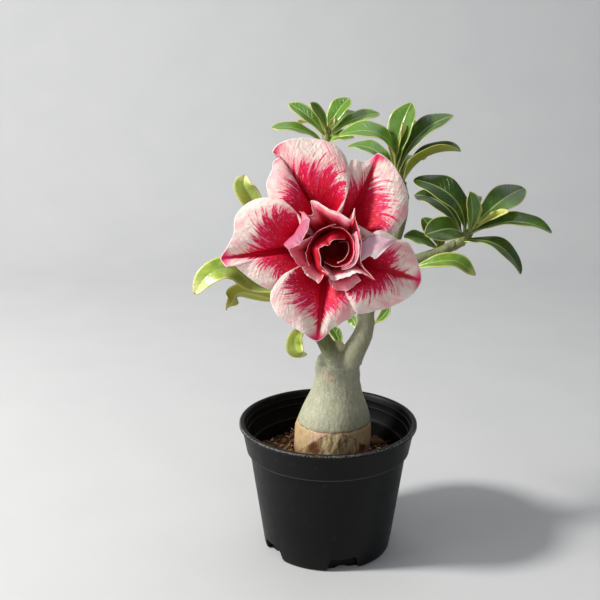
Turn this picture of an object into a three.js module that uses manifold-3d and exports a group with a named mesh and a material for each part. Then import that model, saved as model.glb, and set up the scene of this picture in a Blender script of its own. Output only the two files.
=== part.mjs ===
// Potted desert rose (Adenium): a swollen grafted trunk in a 9 cm nursery pot, with two stems,
// leafy shoots and one large double bloom. Millimetres, +Z up, the pot's underside at z = 0.
import * as THREE from "three";
import { mergeVertices } from "three/addons/utils/BufferGeometryUtils.js";
import Module from "manifold-3d";

const wasm = await Module();
wasm.setup();

// ---- pot
const RIM_RADIUS = 45;
const POT_HEIGHT = 68;
const COLLAR_FOOT_Z = 52.4;
const COLLAR_FOOT_RADIUS = 41.4;
const WALL_TOP_RADIUS = 39.8;
const FOOT_RADIUS = 32.4;
const WALL = 1.4;
const POT_FLOOR_Z = 2.6;
const REST_PAD_RADIUS = 9;
const NOTCH_COUNT = 5;
const NOTCH_WIDTH = 16;
const NOTCH_HEIGHT = 7.2;
const FIRST_NOTCH_DEG = 13;
const POT_SEGMENTS = 40;

// ---- soil
const SOIL_LEVEL = 47.5;
const SOIL_CLEARANCE = 0.3;
const SOIL_SEGMENTS = 40;

// ---- trunk
const TRUNK_FOOT_Z = 33;
const TRUNK_SEGMENTS = 28;
const STEM_SEGMENTS = 12;
const BRANCH_SEGMENTS = 10;

// ---- leaves
const LEAF_THICKNESS = 0.7;
const LEAF_ACROSS = 2;
const LEAF_ALONG = 6;

// ---- bloom
const PETAL_THICKNESS = 0.7;
const BLOOM_EYE = [0.5, -40, 166.5];
const BLOOM_TILT_DEG = -12.5;
const CALYX_GAP = 0.6;
const SEPAL_COUNT = 5;

const v3 = (p) => new THREE.Vector3(...p);
const { degToRad, lerp, smoothstep } = THREE.MathUtils;

// A geometry's surface as a solid that can be joined and cut.
function solid(geometry) {
  for (const name of Object.keys(geometry.attributes)) {
    if (name !== "position") geometry.deleteAttribute(name);
  }
  const merged = mergeVertices(geometry, 1e-4);
  const corners = [...merged.index.array];
  const triangles = [];
  for (let i = 0; i < corners.length; i += 3) {
    const [a, b, c] = corners.slice(i, i + 3);
    if (a !== b && b !== c && c !== a) triangles.push(a, b, c);
  }
  return new wasm.Manifold(new wasm.Mesh({
    numProp: 3,
    vertProperties: new Float32Array(merged.attributes.position.array),
    triVerts: new Uint32Array(triangles),
  }));
}

// A body whose sealed hollows are filled and whose loose scraps are dropped.
const whole = (body) =>
  body.decompose().reduce((largest, part) => (part.volume() > largest.volume() ? part : largest));

// One body out of many.
const fuse = (geometries) => whole(wasm.Manifold.union(geometries.map(solid)));

// A named mesh for a finished solid.
function piece(name, body, color, roughness) {
  const { vertProperties, numProp, triVerts, numVert } = body.getMesh();
  const points = [];
  for (let i = 0; i < numVert; i++) points.push(...vertProperties.slice(i * numProp, i * numProp + 3));
  const geometry = new THREE.BufferGeometry();
  geometry.setAttribute("position", new THREE.Float32BufferAttribute(points, 3));
  geometry.setIndex([...triVerts]);
  geometry.computeVertexNormals();
  const mesh = new THREE.Mesh(geometry, new THREE.MeshStandardMaterial({ color, roughness, metalness: 0 }));
  mesh.name = name;
  return mesh;
}

// Moves every vertex of a geometry.
function reshape(geometry, move) {
  const position = geometry.attributes.position;
  const point = new THREE.Vector3();
  for (let i = 0; i < position.count; i++) {
    move(point.fromBufferAttribute(position, i));
    position.setXYZ(i, point.x, point.y, point.z);
  }
  return geometry;
}

// A round body about the vertical axis, its profile given as rows of [radius, z] from the foot up.
const turned = (rows, segments) =>
  new THREE.LatheGeometry(rows.map((row) => new THREE.Vector2(...row)), segments).rotateX(Math.PI / 2);

// The value at t (0 to 1) of evenly spaced values.
function along(values, t) {
  const x = t * (values.length - 1);
  const k = Math.min(Math.floor(x), values.length - 2);
  return lerp(values[k], values[k + 1], x - k);
}

// A stem through the given points, with radii from its foot to its tip.
function limb(points, radii, segments, ringsPerSpan = 2) {
  const curve = new THREE.CatmullRomCurve3(points.map(v3), false, "centripetal");
  const rings = (points.length - 1) * ringsPerSpan;
  const { normals, binormals } = curve.computeFrenetFrames(rings);
  return reshape(new THREE.CylinderGeometry(1, 1, 1, segments, rings), (p) => {
    const t = p.y + 0.5;
    const ring = Math.round(t * rings);
    const radius = along(radii, t);
    const [x, z] = [p.x * radius, p.z * radius];
    p.copy(curve.getPointAt(t)).addScaledVector(binormals[ring], x).addScaledVector(normals[ring], z);
  });
}

// A thin closed blade on surface(s, t), with s from -1 to 1 across it and t from 0 to 1 along it.
// Both faces are split into triangles alike, so that they keep their distance where it is waved.
function blade(surface, across, length, thickness) {
  const sheet = new THREE.PlaneGeometry(2, 1, across, length);
  const { position } = sheet.attributes;
  const step = 0.02;
  const front = [];
  const back = [];
  for (let i = 0; i < position.count; i++) {
    const s = position.getX(i);
    const t = position.getY(i) + 0.5;
    const sideways = surface(Math.min(s + step, 1), t).sub(surface(Math.max(s - step, -1), t));
    const onward = surface(s, Math.min(t + step, 1)).sub(surface(s, Math.max(t - step, 0)));
    const normal = sideways.cross(onward).setLength(thickness / 2);
    const point = surface(s, t);
    front.push(...point.clone().add(normal));
    back.push(...point.sub(normal));
  }
  const other = position.count;
  const index = [...sheet.index.array];
  for (let i = 0; i < sheet.index.count; i += 3) {
    const [a, b, c] = sheet.index.array.slice(i, i + 3);
    index.push(other + a, other + c, other + b);
  }
  const at = (column, row) => row * (across + 1) + column;
  const border = [];
  for (let row = 0; row < length; row++) border.push(at(0, row));
  for (let column = 0; column < across; column++) border.push(at(column, length));
  for (let row = length; row > 0; row--) border.push(at(across, row));
  for (let column = across; column > 0; column--) border.push(at(column, 0));
  border.forEach((u, k) => {
    const v = border[(k + 1) % border.length];
    index.push(v, u, other + u, v, other + u, other + v);
  });
  const geometry = new THREE.BufferGeometry();
  geometry.setAttribute("position", new THREE.Float32BufferAttribute([...front, ...back], 3));
  geometry.setIndex(index);
  return geometry;
}

const plant = new THREE.Group();
plant.name = "potted_desert_rose";

// ===== Pot: thin black plastic with a rolled lip, an upright collar that steps out over the
// tapering wall, and drain notches through its foot. A flat pad in the middle of the floor and the
// foot ring round it meet the ground.
const wallRadius = (z) => lerp(FOOT_RADIUS, WALL_TOP_RADIUS, z / COLLAR_FOOT_Z);
const potProfile = [
  [0, 0],
  [REST_PAD_RADIUS, 0],
  [REST_PAD_RADIUS + 1.5, POT_FLOOR_Z],
  [FOOT_RADIUS - 4.2, POT_FLOOR_Z],
  [FOOT_RADIUS - 3.8, 0],
  [FOOT_RADIUS - 2, 0],
  [wallRadius(2), 2],
  [WALL_TOP_RADIUS, COLLAR_FOOT_Z],
  [COLLAR_FOOT_RADIUS, COLLAR_FOOT_Z + 0.8],
  [RIM_RADIUS - 1.1, POT_HEIGHT - 2.4],
  [RIM_RADIUS, POT_HEIGHT - 1.8],
  [RIM_RADIUS - 0.2, POT_HEIGHT - 0.3],
  [RIM_RADIUS - 1.4, POT_HEIGHT],
  [RIM_RADIUS - 2.7, POT_HEIGHT - 0.8],
  [COLLAR_FOOT_RADIUS - WALL, COLLAR_FOOT_Z + 3],
  [WALL_TOP_RADIUS - WALL, COLLAR_FOOT_Z + 1.6],
  [WALL_TOP_RADIUS - WALL, COLLAR_FOOT_Z],
  [wallRadius(12) - WALL, 12],
  [FOOT_RADIUS - 2.2, POT_FLOOR_Z + WALL],
  [0, POT_FLOOR_Z + WALL],
];
const notchFace = new THREE.Shape([
  new THREE.Vector2(-NOTCH_WIDTH / 2 - 0.8, -1),
  new THREE.Vector2(NOTCH_WIDTH / 2 + 0.8, -1),
  new THREE.Vector2(NOTCH_WIDTH / 2 - 1.6, NOTCH_HEIGHT),
  new THREE.Vector2(-NOTCH_WIDTH / 2 + 1.6, NOTCH_HEIGHT),
]);
let pot = solid(turned(potProfile, POT_SEGMENTS));
for (let k = 0; k < NOTCH_COUNT; k++) {
  const notch = new THREE.ExtrudeGeometry(notchFace, { depth: 5, bevelEnabled: false });
  notch.rotateX(Math.PI / 2).translate(0, 4 - FOOT_RADIUS, 0);
  notch.rotateZ(degToRad(FIRST_NOTCH_DEG + (k * 360) / NOTCH_COUNT));
  pot = pot.subtract(solid(notch));
}
plant.add(piece("pot", pot, "#17181a", 0.5));

// ===== Trunk: a swollen grafted foot that leans a little to the right. A cut stump with a ridge
// round it stands at its top left. Two stems rise from the graft, and the right one forks in three.
const trunkProfile = [
  [0, TRUNK_FOOT_Z],
  [11, TRUNK_FOOT_Z],
  [14.8, 36],
  [17.4, 42],
  [18.9, 49],
  [19.4, 56],
  [19.4, 61],
  [18.8, 67],
  [17.1, 73],
  [15.3, 77.5],
  [13.6, 81.5],
  [12.3, 86],
  [11.2, 90.5],
  [10.6, 94.5],
  [10.8, 97.6],
  [9.8, 99],
  [0, 99.6],
];
const lean = (z) => 1.6 + 3 * smoothstep(z, 42, 96) - 1.2 * smoothstep(z, 98, 103);
const leaning = (geometry) => reshape(geometry, (p) => p.setX(p.x + lean(p.z)));
const trunk = fuse([
  leaning(turned(trunkProfile, TRUNK_SEGMENTS)),
  limb([[0.5, 0, 95], [-0.8, -0.5, 99.6], [-1.7, -0.8, 103]], [7.2, 5.6, 3.2], 14),
  limb([[7, -0.8, 92], [7.4, -1.8, 97.5], [7.4, -1.6, 102.5]], [8.8, 7.6, 5], 16),
  limb([[5, -4, 92.5], [3.4, -5, 100.5], [-3.9, -7, 114.7], [-10.8, -8.4, 127], [-13.4, -9.2, 134.6]],
    [5.2, 4.4, 3.6, 3.4, 3.4], STEM_SEGMENTS),
  limb([[7, -4, 92], [9.9, -4.2, 99.5], [13, -3.4, 106.3], [16.4, -2, 112.4], [18.2, 0, 118.5],
    [18.4, 1, 124.5], [20.6, 3, 131.5], [25.4, 6, 139.4]],
  [5.4, 5.6, 5.4, 4.8, 4.2, 4.1, 3.9, 3.6], STEM_SEGMENTS),
  limb([[22.6, 4, 134.5], [27, 6, 141.5], [43.8, 6, 149.8], [54.5, 6, 153.6], [62.6, 6, 157.8]],
    [3.6, 3.2, 2.7, 2.5, 2.4], BRANCH_SEGMENTS),
  limb([[23, 4.2, 135], [26, 6.2, 142], [32, 7.5, 158], [35.6, 8, 172], [36, 8, 181.6]],
    [3.6, 3.2, 2.9, 2.7, 2.5], BRANCH_SEGMENTS),
  limb([[23.5, 5, 136], [23, 14, 148], [13, 30, 170], [3, 42, 188], [-0.9, 44.9, 195.6]],
    [3.6, 3.1, 2.7, 2.4, 2.3], BRANCH_SEGMENTS),
]);
plant.add(piece("trunk", trunk, "#b3b59c", 0.75));

// ===== Soil: a coarse bark mix, lower than the rim and heaped against the trunk, most at the back
// left, with a plain hole for the trunk.
const soilWall = (z) => wallRadius(z) - WALL - SOIL_CLEARANCE;
const soilProfile = [
  [0, POT_FLOOR_Z + WALL + SOIL_CLEARANCE],
  [FOOT_RADIUS - 3.2, POT_FLOOR_Z + WALL + SOIL_CLEARANCE],
  [soilWall(12.5), 12.5],
  [soilWall(45), 45],
  [soilWall(45) - 1.6, SOIL_LEVEL],
  [31, SOIL_LEVEL],
  [26, SOIL_LEVEL],
  [21.5, SOIL_LEVEL],
  [0, SOIL_LEVEL],
];
const heapedSoil = reshape(turned(soilProfile, SOIL_SEGMENTS), (p) => {
  if (p.z < SOIL_LEVEL - 0.1) return;
  const radius = Math.hypot(p.x, p.y);
  const turn = Math.atan2(p.y, p.x);
  const heap = 3 + 2.4 * Math.cos(turn - degToRad(140));
  const lumps = 0.8 * Math.sin(5 * turn + radius * 0.4) + 0.6 * Math.sin(9 * turn - radius * 0.7);
  p.z += heap * Math.exp(-((radius - 20) ** 2) / 45) + lumps * smoothstep(radius, 2, 20) * 0.8;
});
const trunkHole = trunkProfile.slice(0, 9).map(([radius, z]) => [
  radius ? radius + SOIL_CLEARANCE * 1.3 : 0,
  z === TRUNK_FOOT_Z ? z - SOIL_CLEARANCE : z,
]);
const soil = solid(heapedSoil).subtract(solid(leaning(turned([...trunkHole, [0, 74]], TRUNK_SEGMENTS))));
plant.add(piece("soil", soil, "#3a2a1e", 0.95));

// ===== Leaves: spoon-shaped, widest past the middle, folded up along the midrib.
// Half the width at t along the leaf, as a part of the greatest half width.
const leafOutline = (t) => Math.max(0.16 * (1 - t) + 0.03, Math.sin(Math.PI * t ** 1.75) ** 0.6);

// A leaf along a curve, folded by fold degrees, its upper side turned to face.
function leaf(curve, width, faces, fold, length = LEAF_ALONG) {
  const surface = (s, t) => {
    const onward = curve.getTangent(t);
    const face = faces[0].clone().lerp(faces.at(-1), t);
    const side = new THREE.Vector3().crossVectors(onward, face).normalize();
    const up = new THREE.Vector3().crossVectors(side, onward);
    const half = (width / 2) * leafOutline(t);
    const lift = degToRad(fold) * (1 - 0.35 * t);
    return curve.getPoint(t).addScaledVector(side, s * half * Math.cos(lift))
      .addScaledVector(up, Math.abs(s) * half * Math.sin(lift));
  };
  return blade(surface, LEAF_ACROSS, length, LEAF_THICKNESS);
}

// A leaf from foot to foot + reach, bowed by arch towards its upper side.
function archedLeaf(foot, reach, width, arch, face, fold) {
  const onward = v3(reach);
  const up = v3(face);
  up.addScaledVector(onward, -up.dot(onward) / onward.lengthSq()).normalize();
  const knee = foot.clone().addScaledVector(onward, 0.5).addScaledVector(up, 2 * arch);
  return leaf(new THREE.QuadraticBezierCurve3(foot, knee, foot.clone().add(onward)), width, [up], fold);
}

// A curled or hanging leaf through the given points.
const curledLeaf = (points, width, faces, fold) =>
  leaf(new THREE.CatmullRomCurve3(points.map(v3)), width, faces.map(v3), fold, LEAF_ALONG + 1);

// Leafy shoots, each placed by its foot on the end of a branch. Every row is a leaf: how far up the
// shoot it grows (0 to 1), its reach, width, arch, the way its upper side faces, and its fold.
const shoots = [
  { name: "shoot_top", foot: [35.8, 8, 182.7], axis: [-5.8, 0, 15.3], radius: 2.5, color: "#55801f",
    leaves: [
      [0.6, [6.5, 2, 33.5], 15, 4.5, [-0.7, -0.9, 0.2], 22],
      [0.9, [3.5, -6, 20.5], 6.5, 1, [0.5, -0.5, 0.2], 50],
      [0.8, [11, 12, 21], 10, 2, [-0.5, -1, 0.6], 30],
      [0.5, [26, 2, 29], 14.5, 7.5, [-0.9, -0.75, 0.8], 24],
      [0.2, [27, -8, 18], 16, 6, [-0.45, 0.02, 1], 56],
      [0.7, [-28, -4, 17], 15, 12, [0.2, -0.5, 1], 20],
      [0.4, [-24, 16, 14], 12, 7, [0, -0.4, 1], 20],
      [0.6, [4, 26, 17], 13, 7, [0, 0.3, 1], 20],
      [0.3, [14, 25, 8], 13, 6, [0, 0.2, 1], 22],
    ] },
  { name: "shoot_right", foot: [63.5, 6, 158.3], axis: [7.5, 0, 7.2], radius: 2.5, color: "#3f6a1c",
    leaves: [
      [0.3, [-25, 2, 28.5], 17, 12, [0.5, -0.75, 0.6], 18],
      [0.2, [-22.5, 12, 20], 14, 9, [0.3, -0.7, 0.7], 22],
      [0.3, [-21, -16, 5], 14.5, 6, [0.1, -0.8, 0.8], 15],
      [0.6, [-2, -10, 22.5], 9.5, 2, [0.4, -0.8, 0.2], 30],
      [0.9, [1.5, -6, 14], 4.5, 0.5, [0.6, -0.5, 0.3], 45],
      [0.9, [15, -10, 11], 6, 1, [-0.5, -0.5, 0.6], 50],
      [0.7, [27, 8, 20.5], 16, 4.5, [-0.5, -0.8, 0.6], 12],
      [0.4, [42, -2, 2.5], 14.5, 7, [0, -0.36, 1], 28],
      [0, [29.5, -8, -14], 14, 8.5, [0.3, -0.45, 1], 16],
      [0.5, [22, 22, 6.5], 12, 4, [0, -0.1, 1], 20],
      [0.7, [3, 25, 13], 13, 6, [0, 0.2, 1], 20],
    ] },
  { name: "shoot_side", foot: [54.2, 12.6, 150.8], axis: [2.8, 2.4, 6.2], radius: 1.7, color: "#456f22",
    leaves: [
      [0.2, [-18, -5.5, 9], 10, 2.5, [0, -0.6, 1], 22],
      [0.5, [-8.5, 6, 14], 10.5, 1, [0.4, -0.8, 0.4], 22],
      [0.8, [4, 3.5, 9], 6, 0.5, [-0.4, -0.8, 0.4], 25],
    ] },
  { name: "shoot_back", foot: [-1.1, 45.4, 197], axis: [1.1, -0.4, 12], radius: 2.4, color: "#6b8a24",
    leaves: [
      [0.3, [-28, -3, 9.5], 11, 4, [0, -0.4, 1], 20],
      [0.6, [-19.5, 5, 17.5], 10, 3, [0.5, -0.8, 0.6], 20],
      [0.8, [-9, -5, 16.5], 8, 1.5, [0.7, -0.6, 0.3], 30],
      [0.8, [11.5, 5, 18], 12, 2.5, [-0.7, -1, 0.5], 25],
      [1, [3.5, -3, 6], 4, 0.5, [0, -1, 0.5], 40],
      [0.7, [16.5, 17, 11], 10, 3, [-0.3, -0.8, 1], 20],
      [0.6, [27.5, 5, 12.5], 10, 4, [0, -0.6, 1], 20],
      [0.3, [14, -5, 5], 9, 3, [0, -0.6, 1], 20],
      [0.4, [-14, 22, 8], 11, 5, [0, 0.2, 1], 20],
      [0.2, [5, 27, 4], 12, 6, [0, 0.1, 1], 20],
    ] },
];
for (const { name, foot, axis, radius, color, leaves } of shoots) {
  const stalk = limb([[0, 0, 0], axis.map((x) => x / 2), axis], [radius * 0.85, radius, radius * 0.4], 10);
  const grown = leaves.map(([at, ...form]) => archedLeaf(v3(axis).multiplyScalar(at), ...form));
  const shoot = piece(name, fuse([stalk, ...grown]), color, 0.5);
  shoot.position.set(...foot);
  plant.add(shoot);
}

// ===== Lone leaves that grow straight from the stems, each held a hair clear of the bark.
const loneLeaves = {
  leaf_right_low: [[[37.6, 3.1, 144.3], [48.5, -2, 149.6], [60.5, -5, 151.5], [70.5, -6, 145]],
    11, [[0, -0.6, 0.8], [0.2, -0.5, 0.9]], 16],
  leaf_right_stem: [[[22.5, -1.8, 119.5], [26, -5, 123.6], [29.5, -7.6, 129.6]],
    5.5, [[-0.4, -0.8, 0.3]], 30],
  leaf_left_hanging: [[[-9.5, -10.3, 117.6], [-12.4, -12.4, 119.4], [-16, -15, 117.2], [-16.9, -16, 112.5],
    [-14.8, -16, 108.5], [-10.8, -15, 107.5]], 9, [[-0.1, -0.6, 0.8], [-1, -0.6, 0], [0, -0.6, -0.8]], 10],
  leaf_fork_low: [[[5.5, 3.4, 103.1], [4.6, 8.2, 109], [1, 11, 114.4]], 6.5, [[0.3, -0.8, 0.4]], 20],
  leaf_fork_high: [[[14.4, 3.3, 113.5], [13, 7.6, 117.5], [9.6, 10, 121]], 6, [[-0.5, -0.8, 0.3]], 20],
};
for (const [name, form] of Object.entries(loneLeaves)) {
  plant.add(piece(name, solid(curledLeaf(...form)), "#8fae4e", 0.5));
}

// ===== Bloom: a double trumpet that faces the front. In its own frame X is to its right, Z up and
// -Y out of its eye. Margins are given clockwise, as seen from the front, in [right, up, out].
const bloomFrame = new THREE.Group();
bloomFrame.position.set(...BLOOM_EYE);
bloomFrame.rotation.x = degToRad(BLOOM_TILT_DEG);
bloomFrame.updateMatrixWorld();
const inFrame = ([right, up, out]) => new THREE.Vector3(right, -out, up);

// The place x, from 0 to the last index, on a smooth line through points.
function smoothLine(points, x) {
  const k = Math.min(Math.max(Math.floor(x), 0), points.length - 2);
  const f = x - k;
  const p = (n) => points[Math.min(Math.max(n, 0), points.length - 1)];
  return [0, 1, 2].map((axis) => {
    const [a, b, c, d] = [p(k - 1)[axis], p(k)[axis], p(k + 1)[axis], p(k + 2)[axis]];
    return 0.5 * (2 * b + (c - a) * f + (2 * a - 5 * b + 4 * c - d) * f ** 2
      + (3 * b - a - 3 * c + d) * f ** 3);
  });
}

// s runs along the margin with the petal's tip at 0, t from the throat, or a fold, to the margin.
// crease sinks the midrib, lobe swells both halves, belly pushes the middle outwards from the eye
// and crown lifts it, so that the margin rolls back.
function petalSurface({ margin, tip, angle, spread, fold, ring = 7, depth = -13.5, flare = 0.85, rise = 2.4,
  crease = 0, lobe = 0, belly = 0, crown = 0, ruffle = 0.4 }) {
  const last = margin.length - 1;
  return (s, t) => {
    const edge = smoothLine(margin, s < 0 ? (s + 1) * tip : tip + s * (last - tip));
    const turn = degToRad(angle - spread * s);
    const foot = fold ? smoothLine(fold, ((s + 1) / 2) * (fold.length - 1))
      : [ring * Math.cos(turn), ring * Math.sin(turn), depth];
    const open = t ** flare;
    const push = belly * Math.sin(Math.PI * t);
    const right = lerp(foot[0], edge[0], open) + push * Math.cos(turn);
    const up = lerp(foot[1], edge[1], open) + push * Math.sin(turn);
    let out = foot[2] * (1 - t) ** rise + edge[2] * t ** 1.5;
    out += crown * Math.sin(Math.PI * Math.min(t / 0.95, 1)) ** 2 * t;
    out -= crease * Math.exp(-((s / 0.16) ** 2)) * Math.sin(Math.PI * t) ** 0.8;
    out += lobe * Math.sin(Math.PI * Math.abs(s)) * Math.sin(Math.PI * t ** 1.2);
    out += ruffle * Math.sin(9 * s) * t ** 4;
    return inFrame([right, up, out]);
  };
}

const outerForm = { crease: 3, lobe: 3, ruffle: 0.7, spread: 34 };
const outerPetals = [
  { angle: 180, tip: 7, margin: [[-14.5, -12.5, -5], [-21.5, -17.5, -6], [-28.5, -19.4, -6],
    [-36, -15.8, -6], [-41.5, -10.6, -5], [-45, -7.2, -4], [-47.6, -9.2, -2], [-50.4, -5.2, -4],
    [-46.8, 0, -2],
    [-44, 6, -1], [-43.4, 13.6, -1], [-37.6, 19.6, -1],
    [-29, 22, 0], [-21, 20, 0], [-16, 13.5, 0], [-14, 6, 0]] },
  { angle: 108, tip: 7, margin: [[-15, 11, -5], [-22, 15, -6], [-28, 20.5, -6], [-29.6, 27, -5],
    [-27.8, 33.5, -4], [-26.6, 37.8, -3], [-23.6, 40.3, -2], [-27, 42.4, -4], [-24, 45.8, -3],
    [-18.5, 47.8, -3], [-11, 48.8, -3], [-3.5, 47.2, -2], [3, 42.8, -1],
    [7, 35.8, 0], [7.2, 28, 0], [4.5, 20.5, 0], [1.5, 15, 0]] },
  { angle: 42, tip: 5, margin: [[2.5, 14, -5], [5.5, 23, -6], [6.5, 32, -6], [8.3, 38.4, -4], [14.6, 38, -4],
    [20.4, 41.4, -4], [26.8, 36.4, -3], [31.4, 28, -2], [33.6, 20.5, -1], [32, 12.4, 0], [27, 5.5, 0],
    [21, 4.5, 0], [14.5, 7.5, 0], [10, 10.5, 0]] },
  { angle: -38, tip: 7, margin: [[9.5, 0.5, -3], [13.8, 3.2, 2.6], [20.4, 7.4, 4.5], [27.4, 4, 2.5],
    [31, 2.8, 2], [34.8, -0.4, 1], [38, -7, -1], [39.8, -15.5, -3], [34.8, -22, -3],
    [27, -26.4, -3], [19, -28.8, -2], [11.5, -29.8, -2], [6.5, -24, -2], [5, -14.5, -1]] },
  { angle: 252, tip: 5, margin: [[4, -15, -5], [9, -23.5, -5], [10.8, -30, -5], [5.2, -34.2, -4],
    [-1.5, -37.6, -4], [-7, -43, -4], [-14, -38.4, -3], [-19.8, -34.4, -3], [-25.6, -29.2, -2],
    [-28.2, -23, -1], [-26.2, -17.5, 0], [-21.5, -12, 0], [-16.5, -9.5, 0]] },
];

// The shorter inner petals stand up round the eye; the last three are rolled into its centre.
const innerForm = { ring: 5.5, depth: -14, flare: 0.7, rise: 2.3 };
const innerPetals = [
  { angle: 88, spread: 60, tip: 4, crown: 6, margin: [
    [-14.9, 15.7, 2], [-12.4, 13.8, 4.5], [-10.6, 13.6, 5], [-9, 14.9, 5], [-10.1, 20, 2], [-7.8, 20, 2.5],
    [-4.3, 18, 4], [-1.5, 16.3, 5.5], [2.3, 15, 6.5], [7.7, 12, 7.5], [9.1, 16.9, 5]] },
  { angle: 142, spread: 22, tip: 3, belly: 7, margin: [
    [-19.6, -1.4, 4], [-17.8, -0.6, 6], [-14.7, 1.2, 7.5], [-13, 4, 8.5], [-11.6, 6.6, 9],
    [-10.6, 9.6, 9], [-10.6, 11.8, 8], [-12.4, 12.2, 6.5], [-13.4, 10.6, 5.5]] },
  { angle: 192, spread: 36, tip: 3, crown: 3, margin: [
    [-12.4, -9.4, 4], [-15.2, -8.4, 5], [-17.7, -5, 5.5], [-19.6, -1.6, 6], [-17, 0.2, 7], [-13.4, 2.6, 8],
    [-9.2, 4.8, 8]] },
  { angle: 0, spread: 56, tip: 3, belly: 2, crown: 2, margin: [
    [9.1, 16.9, 5], [9.6, 11.7, 7.5], [11, 6.9, 8.5], [11.9, 2.2, 9], [11.6, -4.6, 8.5],
    [12.4, -8, 7.5], [15.2, -11, 6.5], [18.6, -14.6, 5]] },
  { angle: -75, spread: 50, tip: 4, crown: 4, margin: [
    [18.4, -14.8, 4.5], [15, -12.8, 6], [11.8, -11.8, 7], [8.3, -12, 7], [5.4, -13.6, 6], [2.3, -14.2, 5.5],
    [-0.2, -14.8, 5], [-2.2, -12.8, 6], [-5, -10.4, 6]] },
  { angle: -80, spread: 34, tip: 3, crown: 3, margin: [
    [12.5, -14.6, 2], [9.8, -17.2, 1.5], [5.8, -19.3, 1], [1.5, -19, 1], [-1.2, -17, 1.5],
    [-2, -14.4, 2.5]] },
  { angle: -130, spread: 36, tip: 2, crown: 4, margin: [
    [-4.6, -13, 3.5], [-6.3, -16, 2], [-10, -13.8, 2.5], [-12.6, -11.5, 3], [-14.2, -8.4, 4.5]] },
  { angle: 140, spread: 60, tip: 2, ring: 4, belly: 1, crown: 2, margin: [
    [-10.5, -8.5, 4.5], [-12, -5, 5.5], [-11.6, -1, 6.5], [-9.5, 3.5, 7], [-5.5, 7.8, 7], [1, 10, 7]] },
  { angle: -12, spread: 100, tip: 4, ring: 3.4, belly: 1, crown: 2, margin: [
    [-1, 8.6, 6], [3.5, 8, 6.5], [7, 5.6, 7], [8.8, 1.5, 7], [8.9, -3.6, 7], [6.8, -7.4, 6.5],
    [3.4, -8.8, 6.5], [-0.5, -8.6, 5.5], [-4.4, -6.4, 4.5]] },
  { angle: 150, spread: 100, tip: 4, ring: 3.4, belly: 4, crown: 1, margin: [
    [-1.2, -12.6, 5.5], [-5, -9, 6.5], [-5.8, -4, 7.5], [-6.4, -0.8, 8], [-3.8, 0.5, 8], [-1.8, 0.8, 8],
    [-0.5, 2.7, 7.5], [5.2, 3.2, 4.5]] },
];

// The right petal's upper margin is folded over towards the front, and the margin of the largest
// petal in the centre rolls back.
const foldedForm = { angle: 90, spread: 0, rise: 1, flare: 1, crown: 1.5, ruffle: 0 };
const foldedMargins = [
  { tip: 2, fold: [[12.4, 1.6, 2.4], [16.4, 5, 3.4], [20.4, 7.3, 4.4], [24, 6, 3.6], [27.3, 3.9, 2.5]],
    margin: [[12.1, -6.4, 7], [15.9, -4.2, 7.6], [18.4, -5.4, 8], [23.4, -0.8, 6], [27.2, 2.6, 3.6]] },
  { tip: 2, fold: [[8.3, 5.2, 6.3], [8.6, 1.3, 6.6], [8.6, -3.4, 6.6], [6.7, -7, 6.1], [3.2, -8.4, 5.9]],
    margin: [[9.9, 6.8, 7.6], [11, 1.4, 8], [10.9, -4.4, 7.8], [8.2, -8.8, 6.6], [3.6, -10.2, 5.8]] },
];

const tubeFoot = inFrame([-3.1, -1.8, -33.2]);
const tubeMiddle = inFrame([0, 0, -24]);
const tubeTop = inFrame([0, 0, -12.6]);
const tube = solid(limb([tubeFoot, tubeMiddle, tubeTop], [2.3, 5, 8.6], 16));
const throatPit = solid(limb([inFrame([0, 0, -17]), inFrame([0, 0, -11])], [1.4, 2.8], 10, 1));
const petals = fuse([
  ...outerPetals.map((form) => blade(petalSurface({ ...outerForm, ...form }), 8, 5, PETAL_THICKNESS)),
  ...innerPetals.map((form) => blade(petalSurface({ ...innerForm, ...form }), 6, 3, PETAL_THICKNESS)),
  ...foldedMargins.map((form) => blade(petalSurface({ ...foldedForm, ...form }), 4, 2, PETAL_THICKNESS)),
]);
const bloom = piece("bloom", whole(tube.subtract(throatPit).add(petals)), "#e06a86", 0.6);
bloom.position.copy(bloomFrame.position);
bloom.rotation.copy(bloomFrame.rotation);
plant.add(bloom);

// ===== Flowering shoot: the left stem ends in leaves that curl and twist, and in the stalk and the
// calyx of the bloom.
const calyxFoot = bloomFrame.localToWorld(tubeFoot.clone());
const calyxAxis = bloomFrame.localToWorld(tubeMiddle.clone()).sub(calyxFoot).normalize();
const onTube = (distance) => calyxFoot.clone().addScaledVector(calyxAxis, distance);
const floweringLeaves = [
  [[[-14.6, -10, 144], [-22, -11, 161], [-33, -12, 177], [-37.5, -13, 185], [-40, -14, 190],
    [-39.5, -14, 194.5]], 11.5, [[-0.2, -0.9, 0.3], [-0.35, -0.9, 0.1]], 26],
  [[[-14.4, -10, 141], [-26, -11.5, 139], [-37.5, -14, 142], [-44, -15, 149], [-51, -16.4, 150.6],
    [-58.5, -17.6, 146.6], [-64, -18, 138.5]], 13, [[0.2, -0.6, 0.8], [-0.4, -0.8, 0.5]], 16],
  [[[-14.2, -10.4, 140], [-27, -10, 134.5], [-37, -11, 137], [-44, -13, 138], [-47, -16, 134],
    [-49.5, -18, 131]], 13, [[0, 1, 0.2], [0.2, 0.5, 0.9]], 12],
  [[[-14.6, -9.6, 145], [-20, 2, 153], [-29, 12, 156], [-37, 20, 152]],
    12, [[0, -0.3, 1], [-0.4, 0.3, 1]], 20],
  [[[-14.6, -9, 143], [-12, 6, 150], [-10, 19, 154], [-9, 30, 151]], 12, [[0, -0.2, 1], [0, 0.4, 1]], 20],
];
const across = new THREE.Vector3(1, 0.12, 0).normalize();
const above = new THREE.Vector3().crossVectors(calyxAxis, across).normalize();
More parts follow.
